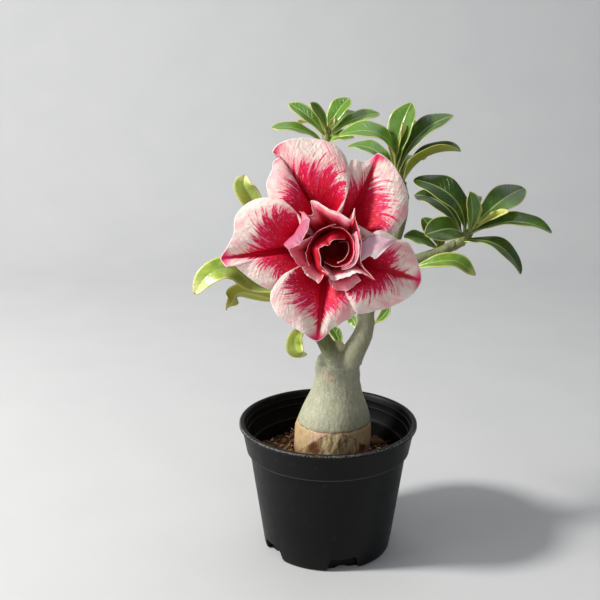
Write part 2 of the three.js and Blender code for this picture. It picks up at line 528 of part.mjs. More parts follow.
const sepals = Array.from({ length: SEPAL_COUNT }, (_, k) => {
  const turn = ((k + 0.3) / SEPAL_COUNT) * Math.PI * 2;
  const outward = across.clone().multiplyScalar(Math.cos(turn)).addScaledVector(above, Math.sin(turn));
  const line = [[-2, 1.4], [-0.4, 4.4], [3.6, 7.2], [7.4, 10.6]];
  const curve = new THREE.CatmullRomCurve3(line.map(([d, r]) => onTube(d).addScaledVector(outward, r)));
  return leaf(curve, 4.6, [outward.negate()], 6, 4);
});
const floweringShoot = fuse([
  limb([[-13.7, -9.3, 135.4], [-14.4, -10, 142], [-15, -10.4, 149]], [2.9, 2.8, 1.3], BRANCH_SEGMENTS),
  limb([[-14.2, -10, 141], [-10.2, -6, 149.5], onTube(-5), onTube(-CALYX_GAP)], [2, 1.7, 1.9, 2.6],
    BRANCH_SEGMENTS),
  ...floweringLeaves.map((form) => curledLeaf(...form)),
  ...sepals,
]);
plant.add(piece("shoot_flowering", floweringShoot, "#7c9c45", 0.5));

export default plant;
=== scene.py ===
import math
import random

import bmesh
import bpy
from mathutils import Matrix, Vector, noise


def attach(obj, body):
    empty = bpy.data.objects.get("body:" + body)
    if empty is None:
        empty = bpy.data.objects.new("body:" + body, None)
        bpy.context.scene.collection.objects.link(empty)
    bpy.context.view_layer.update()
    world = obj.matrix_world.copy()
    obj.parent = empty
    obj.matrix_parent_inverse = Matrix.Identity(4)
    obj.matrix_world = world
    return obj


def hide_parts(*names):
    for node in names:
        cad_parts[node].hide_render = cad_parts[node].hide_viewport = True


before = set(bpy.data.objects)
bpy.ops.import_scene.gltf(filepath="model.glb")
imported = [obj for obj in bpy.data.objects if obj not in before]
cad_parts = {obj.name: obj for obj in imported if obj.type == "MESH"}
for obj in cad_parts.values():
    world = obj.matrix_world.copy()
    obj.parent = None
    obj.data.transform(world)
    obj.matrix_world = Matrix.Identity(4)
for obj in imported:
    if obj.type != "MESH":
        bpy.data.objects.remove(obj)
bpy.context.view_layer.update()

# ===== Pot. A nursery pot moulded in one piece of thin black polypropylene: a rolled lip with rough
# flash on it, an upright collar that steps out over a tapering wall, two fine ribs and a ledge inside,
# and five notches through the foot that let water out. Everything is made in millimetres.
MM = 0.001
RIM_RADIUS = 45.0
POT_HEIGHT = 68.0
COLLAR_FOOT_Z = 52.4
COLLAR_FOOT_RADIUS = 41.4
WALL_TOP_RADIUS = 39.8
FOOT_RADIUS = 32.4
WALL = 1.4
POT_FLOOR_Z = 2.6
POT_SIDES = 180
EDGE_ROUNDING = 0.22
NOTCH_COUNT = 5
NOTCH_WIDTH = 16.0
NOTCH_HEIGHT = 7.2
NOTCH_DEPTH = 5.0
FIRST_NOTCH_DEG = 13


def lerp(a, b, t):
    return a + (b - a) * t


def wall_radius(z):
    return lerp(FOOT_RADIUS, WALL_TOP_RADIUS, z / COLLAR_FOOT_Z)


def spun(rows, steps):
    """A round body about the upright axis, from rows of (radius, height)."""
    bm = bmesh.new()
    line = [bm.verts.new((radius, 0, z)) for radius, z in rows]
    edges = [bm.edges.new(pair) for pair in zip(line, line[1:])]
    bmesh.ops.spin(bm, geom=line + edges, axis=(0, 0, 1), cent=(0, 0, 0), steps=steps, angle=math.tau,
                   use_merge=True)
    bmesh.ops.remove_doubles(bm, verts=bm.verts, dist=0.001)
    bmesh.ops.recalc_face_normals(bm, faces=bm.faces)
    return bm


def in_scene(name, data):
    """Puts a mesh, a lamp or a camera into the scene."""
    thing = bpy.data.objects.new(name, data)
    bpy.context.scene.collection.objects.link(thing)
    return thing


def mesh_of(bm, name, unit=MM):
    """A mesh in metres, from one made in millimetres or another unit."""
    bmesh.ops.scale(bm, vec=(unit, unit, unit), verts=bm.verts)
    mesh = bpy.data.meshes.new(name)
    bm.to_mesh(mesh)
    bm.free()
    return mesh


def finished(bm, name, node, slot, *finishes):
    """Puts a mesh made in millimetres into the scene, in place of its solid."""
    mesh = mesh_of(bm, name)
    for finish in finishes:
        mesh.materials.append(finish.material)
    mesh.shade_smooth()
    piece = in_scene(name, mesh)
    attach(piece, "root")
    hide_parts(node)
    return piece


def applied(piece):
    """Turns a piece's modifiers into mesh."""
    bpy.context.view_layer.update()
    shaped = piece.evaluated_get(bpy.context.evaluated_depsgraph_get())
    mesh = bpy.data.meshes.new_from_object(shaped)
    piece.modifiers.clear()
    piece.data = mesh
    return piece


def paint(red, green, blue):
    """A colour from its 0 to 255 values."""
    return (*[((c / 255 + 0.055) / 1.055) ** 2.4 if c > 10 else c / 3295 for c in (red, green, blue)], 1)


class Value:
    """What one node of a material gives. The next node takes it, alone or in a sum."""

    def __init__(self, finish, socket):
        self.finish, self.socket = finish, socket

    def __add__(self, other):
        return self.finish.maths("ADD", self, other)

    def __sub__(self, other):
        return self.finish.maths("SUBTRACT", self, other)

    def __rsub__(self, other):
        return self.finish.maths("SUBTRACT", other, self)

    def __mul__(self, other):
        return self.finish.maths("MULTIPLY", self, other)

    def __truediv__(self, other):
        return self.finish.maths("DIVIDE", self, other)

    def __abs__(self):
        return self.finish.maths("ABSOLUTE", self)

    def rise(self, low, high):
        """0 below low and 1 above high, with a soft step between, or the other way round."""
        limits = {"Value": self, "From Min": low, "From Max": high}
        return self.finish.add("MapRange", limits, interpolation_type="SMOOTHSTEP")


class Finish:
    """A material, built up one node a call. Places are in millimetres."""

    def __init__(self, name, **constants):
        self.material = bpy.data.materials.new(name)
        self.material.use_nodes = True
        self.tree = self.material.node_tree
        self.shader = self.tree.nodes["Principled BSDF"]
        self.set(**constants)

    def set(self, **sockets):
        for name, value in sockets.items():
            self.join(self.shader.inputs[name.replace("_", " ")], value)

    def join(self, socket, value):
        if isinstance(value, Value):
            self.tree.links.new(value.socket, socket)
        else:
            socket.default_value = value

    def add(self, kind, inputs=(), output=0, **settings):
        node = self.tree.nodes.new("ShaderNode" + kind)
        for key, value in settings.items():
            setattr(node, key, value)
        for key, value in dict(inputs).items():
            self.join(node.inputs[key], value)
        return Value(self, node.outputs[output])

    def maths(self, operation, a, b=0.0):
        return self.add("Math", {0: a, 1: b}, operation=operation)

    def place(self, stretch=(1, 1, 1)):
        coordinates = self.add("TexCoord", output="Object")
        return self.add("VectorMath", {0: coordinates, 1: [s / MM for s in stretch]}, operation="MULTIPLY")

    def away(self, where, point=(0, 0, 0)):
        """How far each place is from a point."""
        return self.add("VectorMath", {0: where, 1: point}, output="Value", operation="DISTANCE")

    def vector(self, x, y, z):
        return self.add("CombineXYZ", {0: x, 1: y, 2: z})

    def split(self, vector):
        parts = self.add("SeparateXYZ", {0: vector})
        return [Value(self, socket) for socket in parts.socket.node.outputs]

    def mark(self, name):
        """The number that a piece keeps under this name at each of its points."""
        return self.add("Attribute", output="Fac", attribute_name=name)

    def marks(self, name):
        """The three numbers that a piece keeps under this name at each of its points."""
        return self.split(self.add("Attribute", output="Vector", attribute_name=name))

    def noise(self, scale, detail=2.0, roughness=0.5, stretch=(1, 1, 1), at=None):
        """Noise over the piece's places, drawn out where stretch is low, or over three numbers."""
        where = self.vector(*at) if at else self.place(stretch)
        sockets = {"Vector": where, "Scale": scale, "Detail": detail, "Roughness": roughness}
        return self.add("TexNoise", sockets)

    def blend(self, amount, below, above):
        """One colour over another. A colour is a node's, or three values from 0 to 255."""
        below, above = [c if isinstance(c, Value) else paint(*c) for c in (below, above)]
        return self.add("MixRGB", {"Fac": amount, "Color1": below, "Color2": above})

    def layered(self, colour, *layers):
        """Colours laid one over another, each with how much of it shows."""
        for amount, above in layers:
            colour = self.blend(amount, colour, above)
        return colour

    def bump(self, height, distance, strength=1.0, onto=None):
        sockets = {"Height": height, "Distance": distance * MM, "Strength": strength}
        if onto:
            sockets["Normal"] = onto
        return self.add("Bump", sockets)


plastic = Finish("black_plastic", Specular_IOR_Level=0.16)
where = plastic.place()
height = plastic.split(where)[2]
from_axis = plastic.away(plastic.place((1, 1, 0)))
drawn = plastic.noise(0.5, 4, stretch=(1, 1, 0.12))
scuffs = plastic.noise(0.16, 5, 0.65)
flash = plastic.noise(1.6, 3, 0.7)
above_step = height - COLLAR_FOOT_Z
# A painted highlight: a pale line along the lower edge of the collar's step, where that edge would catch the
# light.
painted_step_highlight = above_step.rise(0.3, 0.8) * above_step.rise(1.5, 1.0) * from_axis.rise(40.9, 41.2)
# Pale flecks on the lip's outer edge where its flash is: partly the scuffed flash itself and partly a painted
# highlight along that edge.
lip_flash_highlight = height.rise(66.6, 67.5) * from_axis.rise(44.2, 44.75) * flash.rise(0.44, 0.6)
plastic.set(
    Base_Color=plastic.layered(
        plastic.blend(drawn, (7, 8, 8), (13, 14, 15)),
        (scuffs.rise(0.56, 0.74) * 0.22, (58, 58, 57)),
        (painted_step_highlight * 0.55, (72, 74, 73)),
        (lip_flash_highlight * 0.6, (160, 158, 150))),
    Roughness=scuffs * 0.3 + 0.3,
    Normal=plastic.bump(flash, 0.12, 0.35, plastic.bump(drawn, 0.25, 0.2)),
)

lip_profile = [(1.1, 2.4), (0.35, 2.25), (0, 1.8), (0, 0.9), (0.3, 0.3), (0.9, 0), (1.6, 0.05), (2.3, 0.35),
               (2.7, 0.9)]
pot_profile = [
    (0, 0), (9, 0), (10.5, POT_FLOOR_Z), (FOOT_RADIUS - 4.2, POT_FLOOR_Z), (FOOT_RADIUS - 3.8, 0),
    (FOOT_RADIUS - 2, 0), (wall_radius(1) - 0.6, 0.5), (wall_radius(2), 2), (wall_radius(20), 20),
    (wall_radius(40), 40), (WALL_TOP_RADIUS, COLLAR_FOOT_Z), (COLLAR_FOOT_RADIUS, COLLAR_FOOT_Z + 0.8),
    (42.7, 60.2), *[(RIM_RADIUS - inward, POT_HEIGHT - below) for inward, below in lip_profile],
    (41.85, 65.0), (41.5, 64.7), (41.5, 64.2), (41.55, 63.9), (41.0, 61.5), (40.65, 61.2), (40.6, 60.7),
    (40.75, 60.4), (COLLAR_FOOT_RADIUS - WALL, COLLAR_FOOT_Z + 3), (39.5, COLLAR_FOOT_Z + 2.0),
    (WALL_TOP_RADIUS - WALL, COLLAR_FOOT_Z + 1.6), (WALL_TOP_RADIUS - WALL, COLLAR_FOOT_Z),
    (wall_radius(12) - WALL, 12), (FOOT_RADIUS - 2.2, POT_FLOOR_Z + WALL), (0, POT_FLOOR_Z + WALL),
]
pot = finished(spun(pot_profile, POT_SIDES), "pot_shell", "pot", "pot", plastic)

notches = bmesh.new()
for k in range(NOTCH_COUNT):
    made = bmesh.ops.create_cube(notches, size=1)["verts"]
    for corner in made:
        corner.co.x *= NOTCH_WIDTH + (1.6 if corner.co.z < 0 else -3.2)
    bmesh.ops.scale(notches, vec=(1, NOTCH_DEPTH, NOTCH_HEIGHT + 1), verts=made)
    bmesh.ops.translate(notches, vec=(0, 1.5 - FOOT_RADIUS, (NOTCH_HEIGHT - 1) / 2), verts=made)
    turn = Matrix.Rotation(math.radians(FIRST_NOTCH_DEG + k * 360 / NOTCH_COUNT), 3, "Z")
    bmesh.ops.rotate(notches, cent=(0, 0, 0), matrix=turn, verts=made)
cutter = in_scene("notches", mesh_of(notches, "notches"))
cut = pot.modifiers.new("notches", "BOOLEAN")
cut.operation, cut.object, cut.solver = "DIFFERENCE", cutter, "EXACT"
applied(pot)
bpy.data.objects.remove(cutter)
edges = pot.modifiers.new("edges", "BEVEL")
edges.width, edges.segments = EDGE_ROUNDING * MM, 2
edges.limit_method, edges.angle_limit = "ANGLE", math.radians(32)
edges.harden_normals = True

# ===== Trunk. A swollen grafted foot, grown as one with everything above it: a cut stump that healed
# over at its top left, a ridge where the graft took, two stems, and the right one's three branches.
# Grey-green skin above, tan and flaking below the line where soil once covered it.
TRUNK_FOOT_Z = 33.0
OLD_SOIL_Z = 68.0
BARK_GRAIN = 0.5
HEALING_PASSES = 16
TRUNK_SIDES = 96
TRUNK_CUTS = 4
SPLINE_STEPS = 16
trunk_profile = [
    (0, TRUNK_FOOT_Z), (11, TRUNK_FOOT_Z), (14.8, 36), (17.4, 42), (18.9, 49), (19.4, 56), (19.4, 61),
    (18.8, 67), (17.1, 73), (15.3, 77.5), (13.6, 81.5), (12.3, 86), (11.2, 90.5), (10.6, 94.5), (10.8, 97.6),
    (9.8, 99), (0, 99.6),
]


def smoothstep(x, low, high):
    t = min(max((x - low) / (high - low), 0), 1)
    return t * t * (3 - 2 * t)


def smooth_line(points, x):
    """The place x, from 0 to the last index, on a smooth line through points."""
    k = min(max(math.floor(x), 0), len(points) - 2)
    f = x - k
    a, b, c, d = [points[min(max(n, 0), len(points) - 1)] for n in (k - 1, k, k + 1, k + 2)]
    return [
        0.5 * (2 * q + (r - p) * f + (2 * p - 5 * q + 4 * r - s) * f ** 2 + (3 * q - p - 3 * r + s) * f ** 3)
        for p, q, r, s in zip(a, b, c, d)
    ]


def smoother(points, cuts):
    return [smooth_line(points, k / cuts) for k in range((len(points) - 1) * cuts + 1)]


def lean(z):
    return 1.6 + 3 * smoothstep(z, 42, 96) - 1.2 * smoothstep(z, 98, 103)


def spline(points):
    """Places along a centripetal curve through points."""
    points = [Vector(p) for p in points]
    ends = [2 * points[0] - points[1], *points, 2 * points[-1] - points[-2]]
    places = []
    for p0, p1, p2, p3 in zip(ends, ends[1:], ends[2:], ends[3:]):
        t1 = math.sqrt((p1 - p0).length)
        t2 = t1 + math.sqrt((p2 - p1).length)
        t3 = t2 + math.sqrt((p3 - p2).length)
        for k in range(SPLINE_STEPS):
            t = lerp(t1, t2, k / SPLINE_STEPS)
            a1, a2 = p0.lerp(p1, t / t1), p1.lerp(p2, (t - t1) / (t2 - t1))
            a3 = p2.lerp(p3, (t - t2) / (t3 - t2))
            b1, b2 = a1.lerp(a2, t / t2), a2.lerp(a3, (t - t1) / (t3 - t1))
            places.append(b1.lerp(b2, (t - t1) / (t2 - t1)))
    return [*places, points[-1]]


def lengths_up_to(places):
    lengths = [0.0]
    for a, b in zip(places, places[1:]):
        lengths.append(lengths[-1] + (b - a).length)
    return lengths


def limb(bm, points, radii, sides=20, spacing=1.5):
    """A round stem through the points, closed at both ends, with radii from its foot to its tip."""
    places = spline(points)
    lengths = lengths_up_to(places)
    rings = max(3, round(lengths[-1] / spacing))
    frames = []
    side = (places[1] - places[0]).orthogonal().normalized()
    k = 0
    for ring in range(rings + 1):
        far = lengths[-1] * ring / rings
        while k < len(places) - 2 and lengths[k + 1] < far:
            k += 1
        onward = (places[k + 1] - places[k]).normalized()
        side = (side - onward * side.dot(onward)).normalized()
        centre = places[k].lerp(places[k + 1], (far - lengths[k]) / (lengths[k + 1] - lengths[k]))
        radius = smooth_line([(r,) for r in radii], (len(radii) - 1) * ring / rings)[0]
        frames.append((centre, side * radius, onward.cross(side) * radius))
    verts = bmesh.ops.create_grid(bm, x_segments=sides, y_segments=rings, size=1)["verts"]
    for v in verts:
        turn = math.pi * v.co.x
        centre, x, y = frames[round((v.co.y + 1) / 2 * rings)]
        v.co = centre + x * math.cos(turn) + y * math.sin(turn)
    bmesh.ops.remove_doubles(bm, verts=verts, dist=1e-5)
    verts = [v for v in verts if v.is_valid]
    ends = {e for v in verts for e in v.link_edges if e.is_boundary}
    bmesh.ops.holes_fill(bm, edges=list(ends), sides=0)
    return verts


def grown_together(piece, grain, passes=0):
    """Makes one skin of the bodies in a piece and smooths it over."""
    skin = piece.modifiers.new("one_skin", "REMESH")
    skin.mode, skin.voxel_size = "VOXEL", grain * MM
    if passes:
        healed = piece.modifiers.new("healed", "SMOOTH")
        healed.factor, healed.iterations = 0.5, passes
    applied(piece).data.shade_smooth()


BUD = (4.6, -4.2, 108.6)
BUD_RADIUS = 2.9
bark = Finish("bark", Specular_IOR_Level=0.3)
where = bark.place()
right, toward, height = bark.split(where)
grain = bark.noise(0.75, 5, 0.6, stretch=(1, 1, 0.22))
mottle = bark.noise(0.13, 4, 0.6)
specks = bark.noise(2.2, 2, stretch=(1, 1, 0.45))
streaks = bark.noise(0.55, 4, 0.6, stretch=(1, 1, 0.16))
# Green young bark over the stems and branches. Near the fork it is kept to the left side only: that darker
# olive is partly the young bark and partly painted shade, where the bloom above shades the left stem.
greener_and_shaded = bark.maths("MAXIMUM", height.rise(99, 112) * right.rise(9, 1), height.rise(122, 158) * 0.8)
greener_and_shaded = bark.maths("MAXIMUM", greener_and_shaded, 0.22) * height.rise(99, 106)
bud_skin = bark.blend(bark.noise(0.9, 3), (196, 198, 128), (240, 234, 186))
scar = bark.maths("MINIMUM", bark.away(where, (-3, -9, 95.2)), bark.away(where, (0.8, -10.5, 93.2)))
scar = scar.rise(3.4, 0.6) * bark.noise(0.9, 4).rise(0.36, 0.6)

wander = bark.noise(0.12, 2) * 1.6 - 0.8
above_soil = height - (wander + OLD_SOIL_Z)
off_centre = (right - 3.4) / 16.5
below_arch = off_centre * off_centre * -11.0 + 67.6 + wander - height
in_front = toward.rise(-4.0, -8.0)
ragged = bark.noise(0.35, 4, 0.7) * 9.0 - 4.5
rot_left = bark.away(where, (-8.0, -17.5, 59.5)) + ragged
rot_right = bark.away(where, (17.4, -12.5, 57.5)) + ragged
rot = bark.maths("MAXIMUM", rot_left.rise(7.0, 1.5), rot_right.rise(6.0, 1.5))
flakes = bark.noise(0.5, 5, 0.65, stretch=(1, 1, 0.3)).rise(0.3, 0.62)
peeled = bark.layered(bark.blend(flakes, (104, 74, 40), (196, 176, 134)),
                      (rot, bark.blend(grain, (62, 36, 20), (112, 66, 34))))
pale = bark.maths("MAXIMUM", bark.away(where, (-6.5, -18, 66.5)).rise(7.0, 4.0), 0.35)
tan = bark.layered(
    bark.blend(streaks, (164, 132, 82), (204, 184, 138)),
    (pale * bark.noise(0.45, 3).rise(0.4, 0.6), (204, 168, 148)),
    (below_arch.rise(-0.1, 0.5) * in_front, peeled),
    (height.rise(60, 50), bark.blend(streaks, (92, 62, 36), (150, 112, 70))))
lines = bark.maths("MAXIMUM", abs(above_soil).rise(0.55, 0.05), abs(below_arch).rise(0.6, 0.05) * in_front)
broken = bark.noise(0.5, 3).rise(0.36, 0.56)
bark.set(
    Base_Color=bark.layered(
        bark.blend(grain, (118, 120, 94), (186, 187, 162)),
        (mottle.rise(0.35, 0.7), bark.blend(grain, (136, 136, 108), (194, 192, 170))),
        (specks.rise(0.62, 0.7), (204, 206, 186)),
        (specks.rise(0.33, 0.26) * 0.7, (100, 98, 72)),
        (greener_and_shaded, bark.blend(grain, (80, 86, 46), (128, 134, 86))),
        (bark.away(where, BUD).rise(4.2, 2.6) * 0.8, bud_skin),
        (scar * 0.8, (222, 190, 156)),
        (above_soil.rise(0.35, -0.35), tan),
        (lines * broken * 0.8, (128, 88, 66))),
    Roughness=grain * 0.3 + 0.45,
    Normal=bark.bump(specks, 0.16, 0.5, bark.bump(grain, 0.5, 0.45)),
)

body = spun(smoother(trunk_profile, TRUNK_CUTS), TRUNK_SIDES)
for v in body.verts:
    v.co.x += lean(v.co.z)
STUMP = [(0.5, 0, 95), (-0.8, -0.5, 99.6), (-1.7, -0.8, 103)]
NECK = [(7, -0.8, 92), (7.4, -1.8, 97.5), (7.4, -1.6, 102.5)]
LEFT_STEM = [(5, -4, 92.5), (3.4, -5, 100.5), (-3.9, -7, 114.7), (-10.8, -8.4, 127), (-13.4, -9.2, 134.6)]
RIGHT_STEM = [(7, -4, 92), (9.9, -4.2, 99.5), (13, -3.4, 106.3), (16.4, -2, 112.4), (18.2, 0, 118.5),
              (18.4, 1, 124.5), (20.6, 3, 131.5), (25.4, 6, 139.4)]
RIGHT_BRANCH = [(22.6, 4, 134.5), (27, 6, 141.5), (43.8, 6, 149.8), (54.5, 6, 153.6), (62.6, 6, 157.8)]
TOP_BRANCH = [(23, 4.2, 135), (26, 6.2, 142), (32, 7.5, 158), (35.6, 8, 172), (36, 8, 181.6)]
BACK_BRANCH = [(23.5, 5, 136), (23, 14, 148), (13, 30, 170), (3, 42, 188), (-0.9, 44.9, 195.6)]
for stem, radii in [
    (STUMP, [7.4, 6.0, 3.7]), (NECK, [9, 7.8, 5.2]), (LEFT_STEM, [5.4, 4.6, 3.8, 3.6, 3.6]),
    (RIGHT_STEM, [5.6, 5.8, 5.6, 5, 4.4, 4.3, 4.1, 3.8]), (RIGHT_BRANCH, [3.8, 3.4, 2.9, 2.7, 2.6]),
    (TOP_BRANCH, [3.8, 3.4, 3.1, 2.9, 2.7]), (BACK_BRANCH, [3.8, 3.3, 2.9, 2.6, 2.5]),
]:
    limb(body, stem, radii)
bmesh.ops.create_icosphere(body, subdivisions=3, radius=BUD_RADIUS, matrix=Matrix.Translation(BUD))
trunk = finished(body, "trunk_bark", "trunk", "trunk", bark)
grown_together(trunk, BARK_GRAIN, HEALING_PASSES)

# How far along each stem its old leaf scars are, in places of its line.
leaf_scars = [(LEFT_STEM, (2.2, 2.9, 3.5)), (RIGHT_STEM, (2.4, 3.2, 4.1)),
              (RIGHT_BRANCH, (1.4, 2.1, 2.8, 3.5)), (TOP_BRANCH, (1.5, 2.2, 2.9, 3.5)),
              (BACK_BRANCH, (1.5, 2.2, 3.0))]
growth = random.Random(5)
scars = []
for stem, places in leaf_scars:
    for far in places:
        turn = growth.uniform(0, math.tau)
        outward = Vector((math.cos(turn), math.sin(turn), 0.2))
        scars.append(Vector(smooth_line(stem, far)) + outward * 3.4)
bm = bmesh.new()
bm.from_mesh(trunk.data)
bmesh.ops.recalc_face_normals(bm, faces=bm.faces)
bm.normal_update()
moves = []
for v in bm.verts:
    p = v.co / MM
    foot = 1 - smoothstep(p.z, 98, 108)
    relief = 0.13 * noise.noise(Vector((p.x * 0.8, p.y * 0.8, p.z * 0.2)))
    relief += 0.07 * noise.noise(Vector((p.x * 2.2, p.y * 2.2, p.z * 0.55)))
    relief += 0.35 * foot * noise.noise(p * 0.09)
    relief += 0.10 * (1 - foot) * noise.noise(Vector((p.x, p.y, p.z * 2.6)) * 0.5)
    rough = 1 - smoothstep(p.z, OLD_SOIL_Z - 1, OLD_SOIL_Z + 1)
    relief += 0.3 * rough * noise.noise(Vector((p.x * 0.5, p.y * 0.5, p.z * 0.25 + 9)))
    relief += 0.16 * rough * noise.noise(p * 1.3)
    relief -= 0.3 * math.exp(-(((p.z - OLD_SOIL_Z) / 0.6) ** 2))
    ridge_z = 98.4 + 0.022 * (p.x - 9) ** 2
    if p.y < 6:
        relief += 0.22 * math.exp(-(((p.z - ridge_z) / 0.5) ** 2)) * smoothstep(p.x, -4, 1)
        relief -= 0.25 * math.exp(-(((p.z - ridge_z + 1) / 0.5) ** 2)) * smoothstep(p.x, -4, 1)
    scar = math.exp(-((p - Vector((-3.5, -10, 95.5))).length_squared / 14))
    relief += scar * (0.35 + 0.5 * noise.noise(p * 0.8))
    relief -= 0.9 * math.exp(-((p - Vector((-1.5, -7.0, 103.2))).length_squared / 0.6))
    for middle in scars:
        gap = (p - middle).length
        if gap < 4:
            relief += 0.5 * math.exp(-((gap / 1.5) ** 2)) - 0.3 * math.exp(-((gap / 0.7) ** 2))
    moves.append(v.normal * relief * MM)
for v, move in zip(bm.verts, moves):
    v.co += move
bm.to_mesh(trunk.data)
bm.free()

# ===== Soil. A coarse potting mix of bark crumbs, coir and a little perlite, 20 mm under the rim and
# heaped against the trunk. One crumbly bed, with loose bark, coir strands and perlite strewn over it.
SOIL_LEVEL = 47.5
SOIL_CLEARANCE = 0.3
BED_EDGE_Z = 45.0
BED_BEND_Z = 12.5
BED_HOLE_Z = 32.6
BED_SIDES = 200
BED_RINGS = 24


def soil_height(x, y):
    radius, turn = math.hypot(x, y), math.atan2(y, x)
    heap = 3 + 2.4 * math.cos(turn - math.radians(140))
    lumps = 0.8 * math.sin(5 * turn + radius * 0.4) + 0.6 * math.sin(9 * turn - radius * 0.7)
    z = SOIL_LEVEL + heap * math.exp(-((radius - 20) ** 2) / 45) + lumps * smoothstep(radius, 2, 20) * 0.8
    return z + 1.1 * noise.noise(Vector((x, y, 0)) * 0.4) + 0.6 * noise.noise(Vector((x, y, 5)) * 1.1)


def soil_wall(z):
    return wall_radius(z) - WALL - SOIL_CLEARANCE


bed_floor = POT_FLOOR_Z + WALL + SOIL_CLEARANCE
bed_top = [(soil_wall(BED_EDGE_Z) - 1.2 - 0.7 * k, SOIL_LEVEL) for k in range(BED_RINGS)]
bed_hole = [(radius + 0.5, z) for radius, z in trunk_profile[4:1:-1]] + [(11.5, BED_HOLE_Z), (0, BED_HOLE_Z)]
bed_rows = [(0, bed_floor), (FOOT_RADIUS - 3.2, bed_floor), (soil_wall(BED_BEND_Z), BED_BEND_Z),
            (soil_wall(BED_EDGE_Z), BED_EDGE_Z)]
bed = spun([*bed_rows, *bed_top, *bed_hole], BED_SIDES)
for v in bed.verts:
    if abs(v.co.z - SOIL_LEVEL) < 0.01:
        v.co.z = soil_height(v.co.x, v.co.y)
    radius = math.hypot(v.co.x, v.co.y)
    v.co.x += lean(v.co.z) * (1 - smoothstep(radius, 20.5, 28)) * (v.co.z > 32)

earth = Finish("earth", Roughness=0.95, Specular_IOR_Level=0.15)
where = earth.place()
crumbs = earth.add("TexVoronoi", {"Vector": where, "Scale": 0.85, "Randomness": 1.0}, output="Color")
crumb_tone = earth.split(crumbs)[0]
fine = earth.noise(2.4, 4, 0.7)
ground = earth.layered(earth.blend(crumb_tone, (34, 23, 16), (86, 58, 38)),
                       (fine.rise(0.55, 0.75), (122, 88, 60)))
earth.set(Base_Color=ground, Normal=earth.bump(fine, 0.8, 0.9, earth.bump(crumb_tone, 0.8, 0.7)))
finished(bed, "soil_bed", "soil", "soil", earth)


def strewn(name, count, seed, nearest, farthest, finish, make):
    """Small things dropped on the bed by a seeded draw, each with a tone of its own."""
    draw = random.Random(seed)
    bm = bmesh.new()
    tone = bm.verts.layers.float.new("tone")
    for _ in range(count):
        turn = draw.uniform(0, math.tau)
        radius = math.sqrt(draw.uniform(nearest ** 2, farthest ** 2))
        x, y = radius * math.cos(turn) + 2 * (1 - smoothstep(radius, 20, 28)), radius * math.sin(turn)
        verts = make(bm, draw)
        spin = Matrix.Rotation(draw.uniform(0, math.tau), 3, "Z")
        tipped = Matrix.Rotation(draw.gauss(0, 0.5), 3, "X")
        bmesh.ops.rotate(bm, cent=(0, 0, 0), matrix=spin @ tipped, verts=verts)
        bmesh.ops.translate(bm, vec=(x, y, soil_height(x, y) + draw.uniform(-0.1, 0.5)), verts=verts)
        shade = draw.random()
        for v in verts:
            v[tone] = shade
    bmesh.ops.recalc_face_normals(bm, faces=bm.faces)
    return finished(bm, name, "soil", "soil", finish)


def chip(bm, draw):
    """A splintered crumb of bark."""
    verts = bmesh.ops.create_icosphere(bm, subdivisions=1, radius=0.5)["verts"]
    size = draw.lognormvariate(0.25, 0.4)
    for v in verts:
        v.co *= 1 + draw.uniform(-0.3, 0.3)
    bmesh.ops.scale(bm, vec=(size * 1.9, size * 1.1, size * 0.65), verts=verts)
    return verts


def coir(bm, draw):
    """A stiff strand of coir that lies on the bed and sticks up at one end."""
    long = draw.uniform(3, 9)
    rise = draw.uniform(0.2, 3.2)
    points = [(-long / 2, draw.gauss(0, 0.5), 0), (-long / 6, draw.gauss(0, 0.8), rise * 0.3),
              (long / 4, draw.gauss(0, 0.8), rise * 0.6), (long / 2, draw.gauss(0, 0.8), rise)]
    thick = draw.uniform(0.1, 0.24)
    return limb(bm, points, [thick, thick * 0.6], sides=4, spacing=1.6)


def pearl(bm, draw):
    """A grain of perlite."""
    verts = bmesh.ops.create_icosphere(bm, subdivisions=2, radius=draw.uniform(0.4, 0.85))["verts"]
    for v in verts:
        v.co *= 1 + 0.25 * noise.noise(v.co * 2.3)
    return verts


bark_crumb = Finish("bark_crumb", Roughness=0.85, Specular_IOR_Level=0.25)
tone = bark_crumb.mark("tone")
wood = bark_crumb.noise(1.8, 4, 0.6, stretch=(1, 1, 2.5))
chips = bark_crumb.layered(bark_crumb.blend(tone, (48, 29, 18), (146, 96, 62)),
                           (tone.rise(0.86, 0.97), (196, 158, 118)), (wood, (70, 44, 28)))
bark_crumb.set(Base_Color=chips, Normal=bark_crumb.bump(wood, 0.3, 0.7))
coir_fibre = Finish("coir_fibre", Roughness=0.7, Specular_IOR_Level=0.3)
husk = coir_fibre.blend(coir_fibre.noise(1.2, 2), (92, 58, 34), (126, 84, 50))
coir_fibre.set(Base_Color=coir_fibre.blend(coir_fibre.mark("tone"), husk, (190, 148, 104)))
perlite = Finish("perlite", Roughness=0.9, Specular_IOR_Level=0.2)
pores = perlite.noise(3.0, 4, 0.7)
perlite.set(Base_Color=perlite.blend(pores, (170, 160, 144), (232, 228, 218)),
            Normal=perlite.bump(pores, 0.3, 0.8))
# Each kind's row: its name, how many, the seed of its draw, the ring it lies in, and how it is made.
for row in [("bark_crumbs", 760, 11, 20.0, 36.0, bark_crumb, chip),
            ("coir_strands", 190, 12, 20.5, 34.5, coir_fibre, coir),
            ("perlite_grains", 46, 13, 20.5, 35.5, perlite, pearl)]:
    strewn(*row)

# ===== Leaves. Thick, glossy and spoon-shaped, widest past the middle, with a pale midrib in a shallow
# groove, a yellow-green margin and a short brown tip. Young leaves are yellow-green and still folded.
LEAF_MIDDLE = 0.95
LEAF_THINNEST = 0.25
MARGIN_GREEN = (216, 218, 128)
RIB_SAMPLES = 200


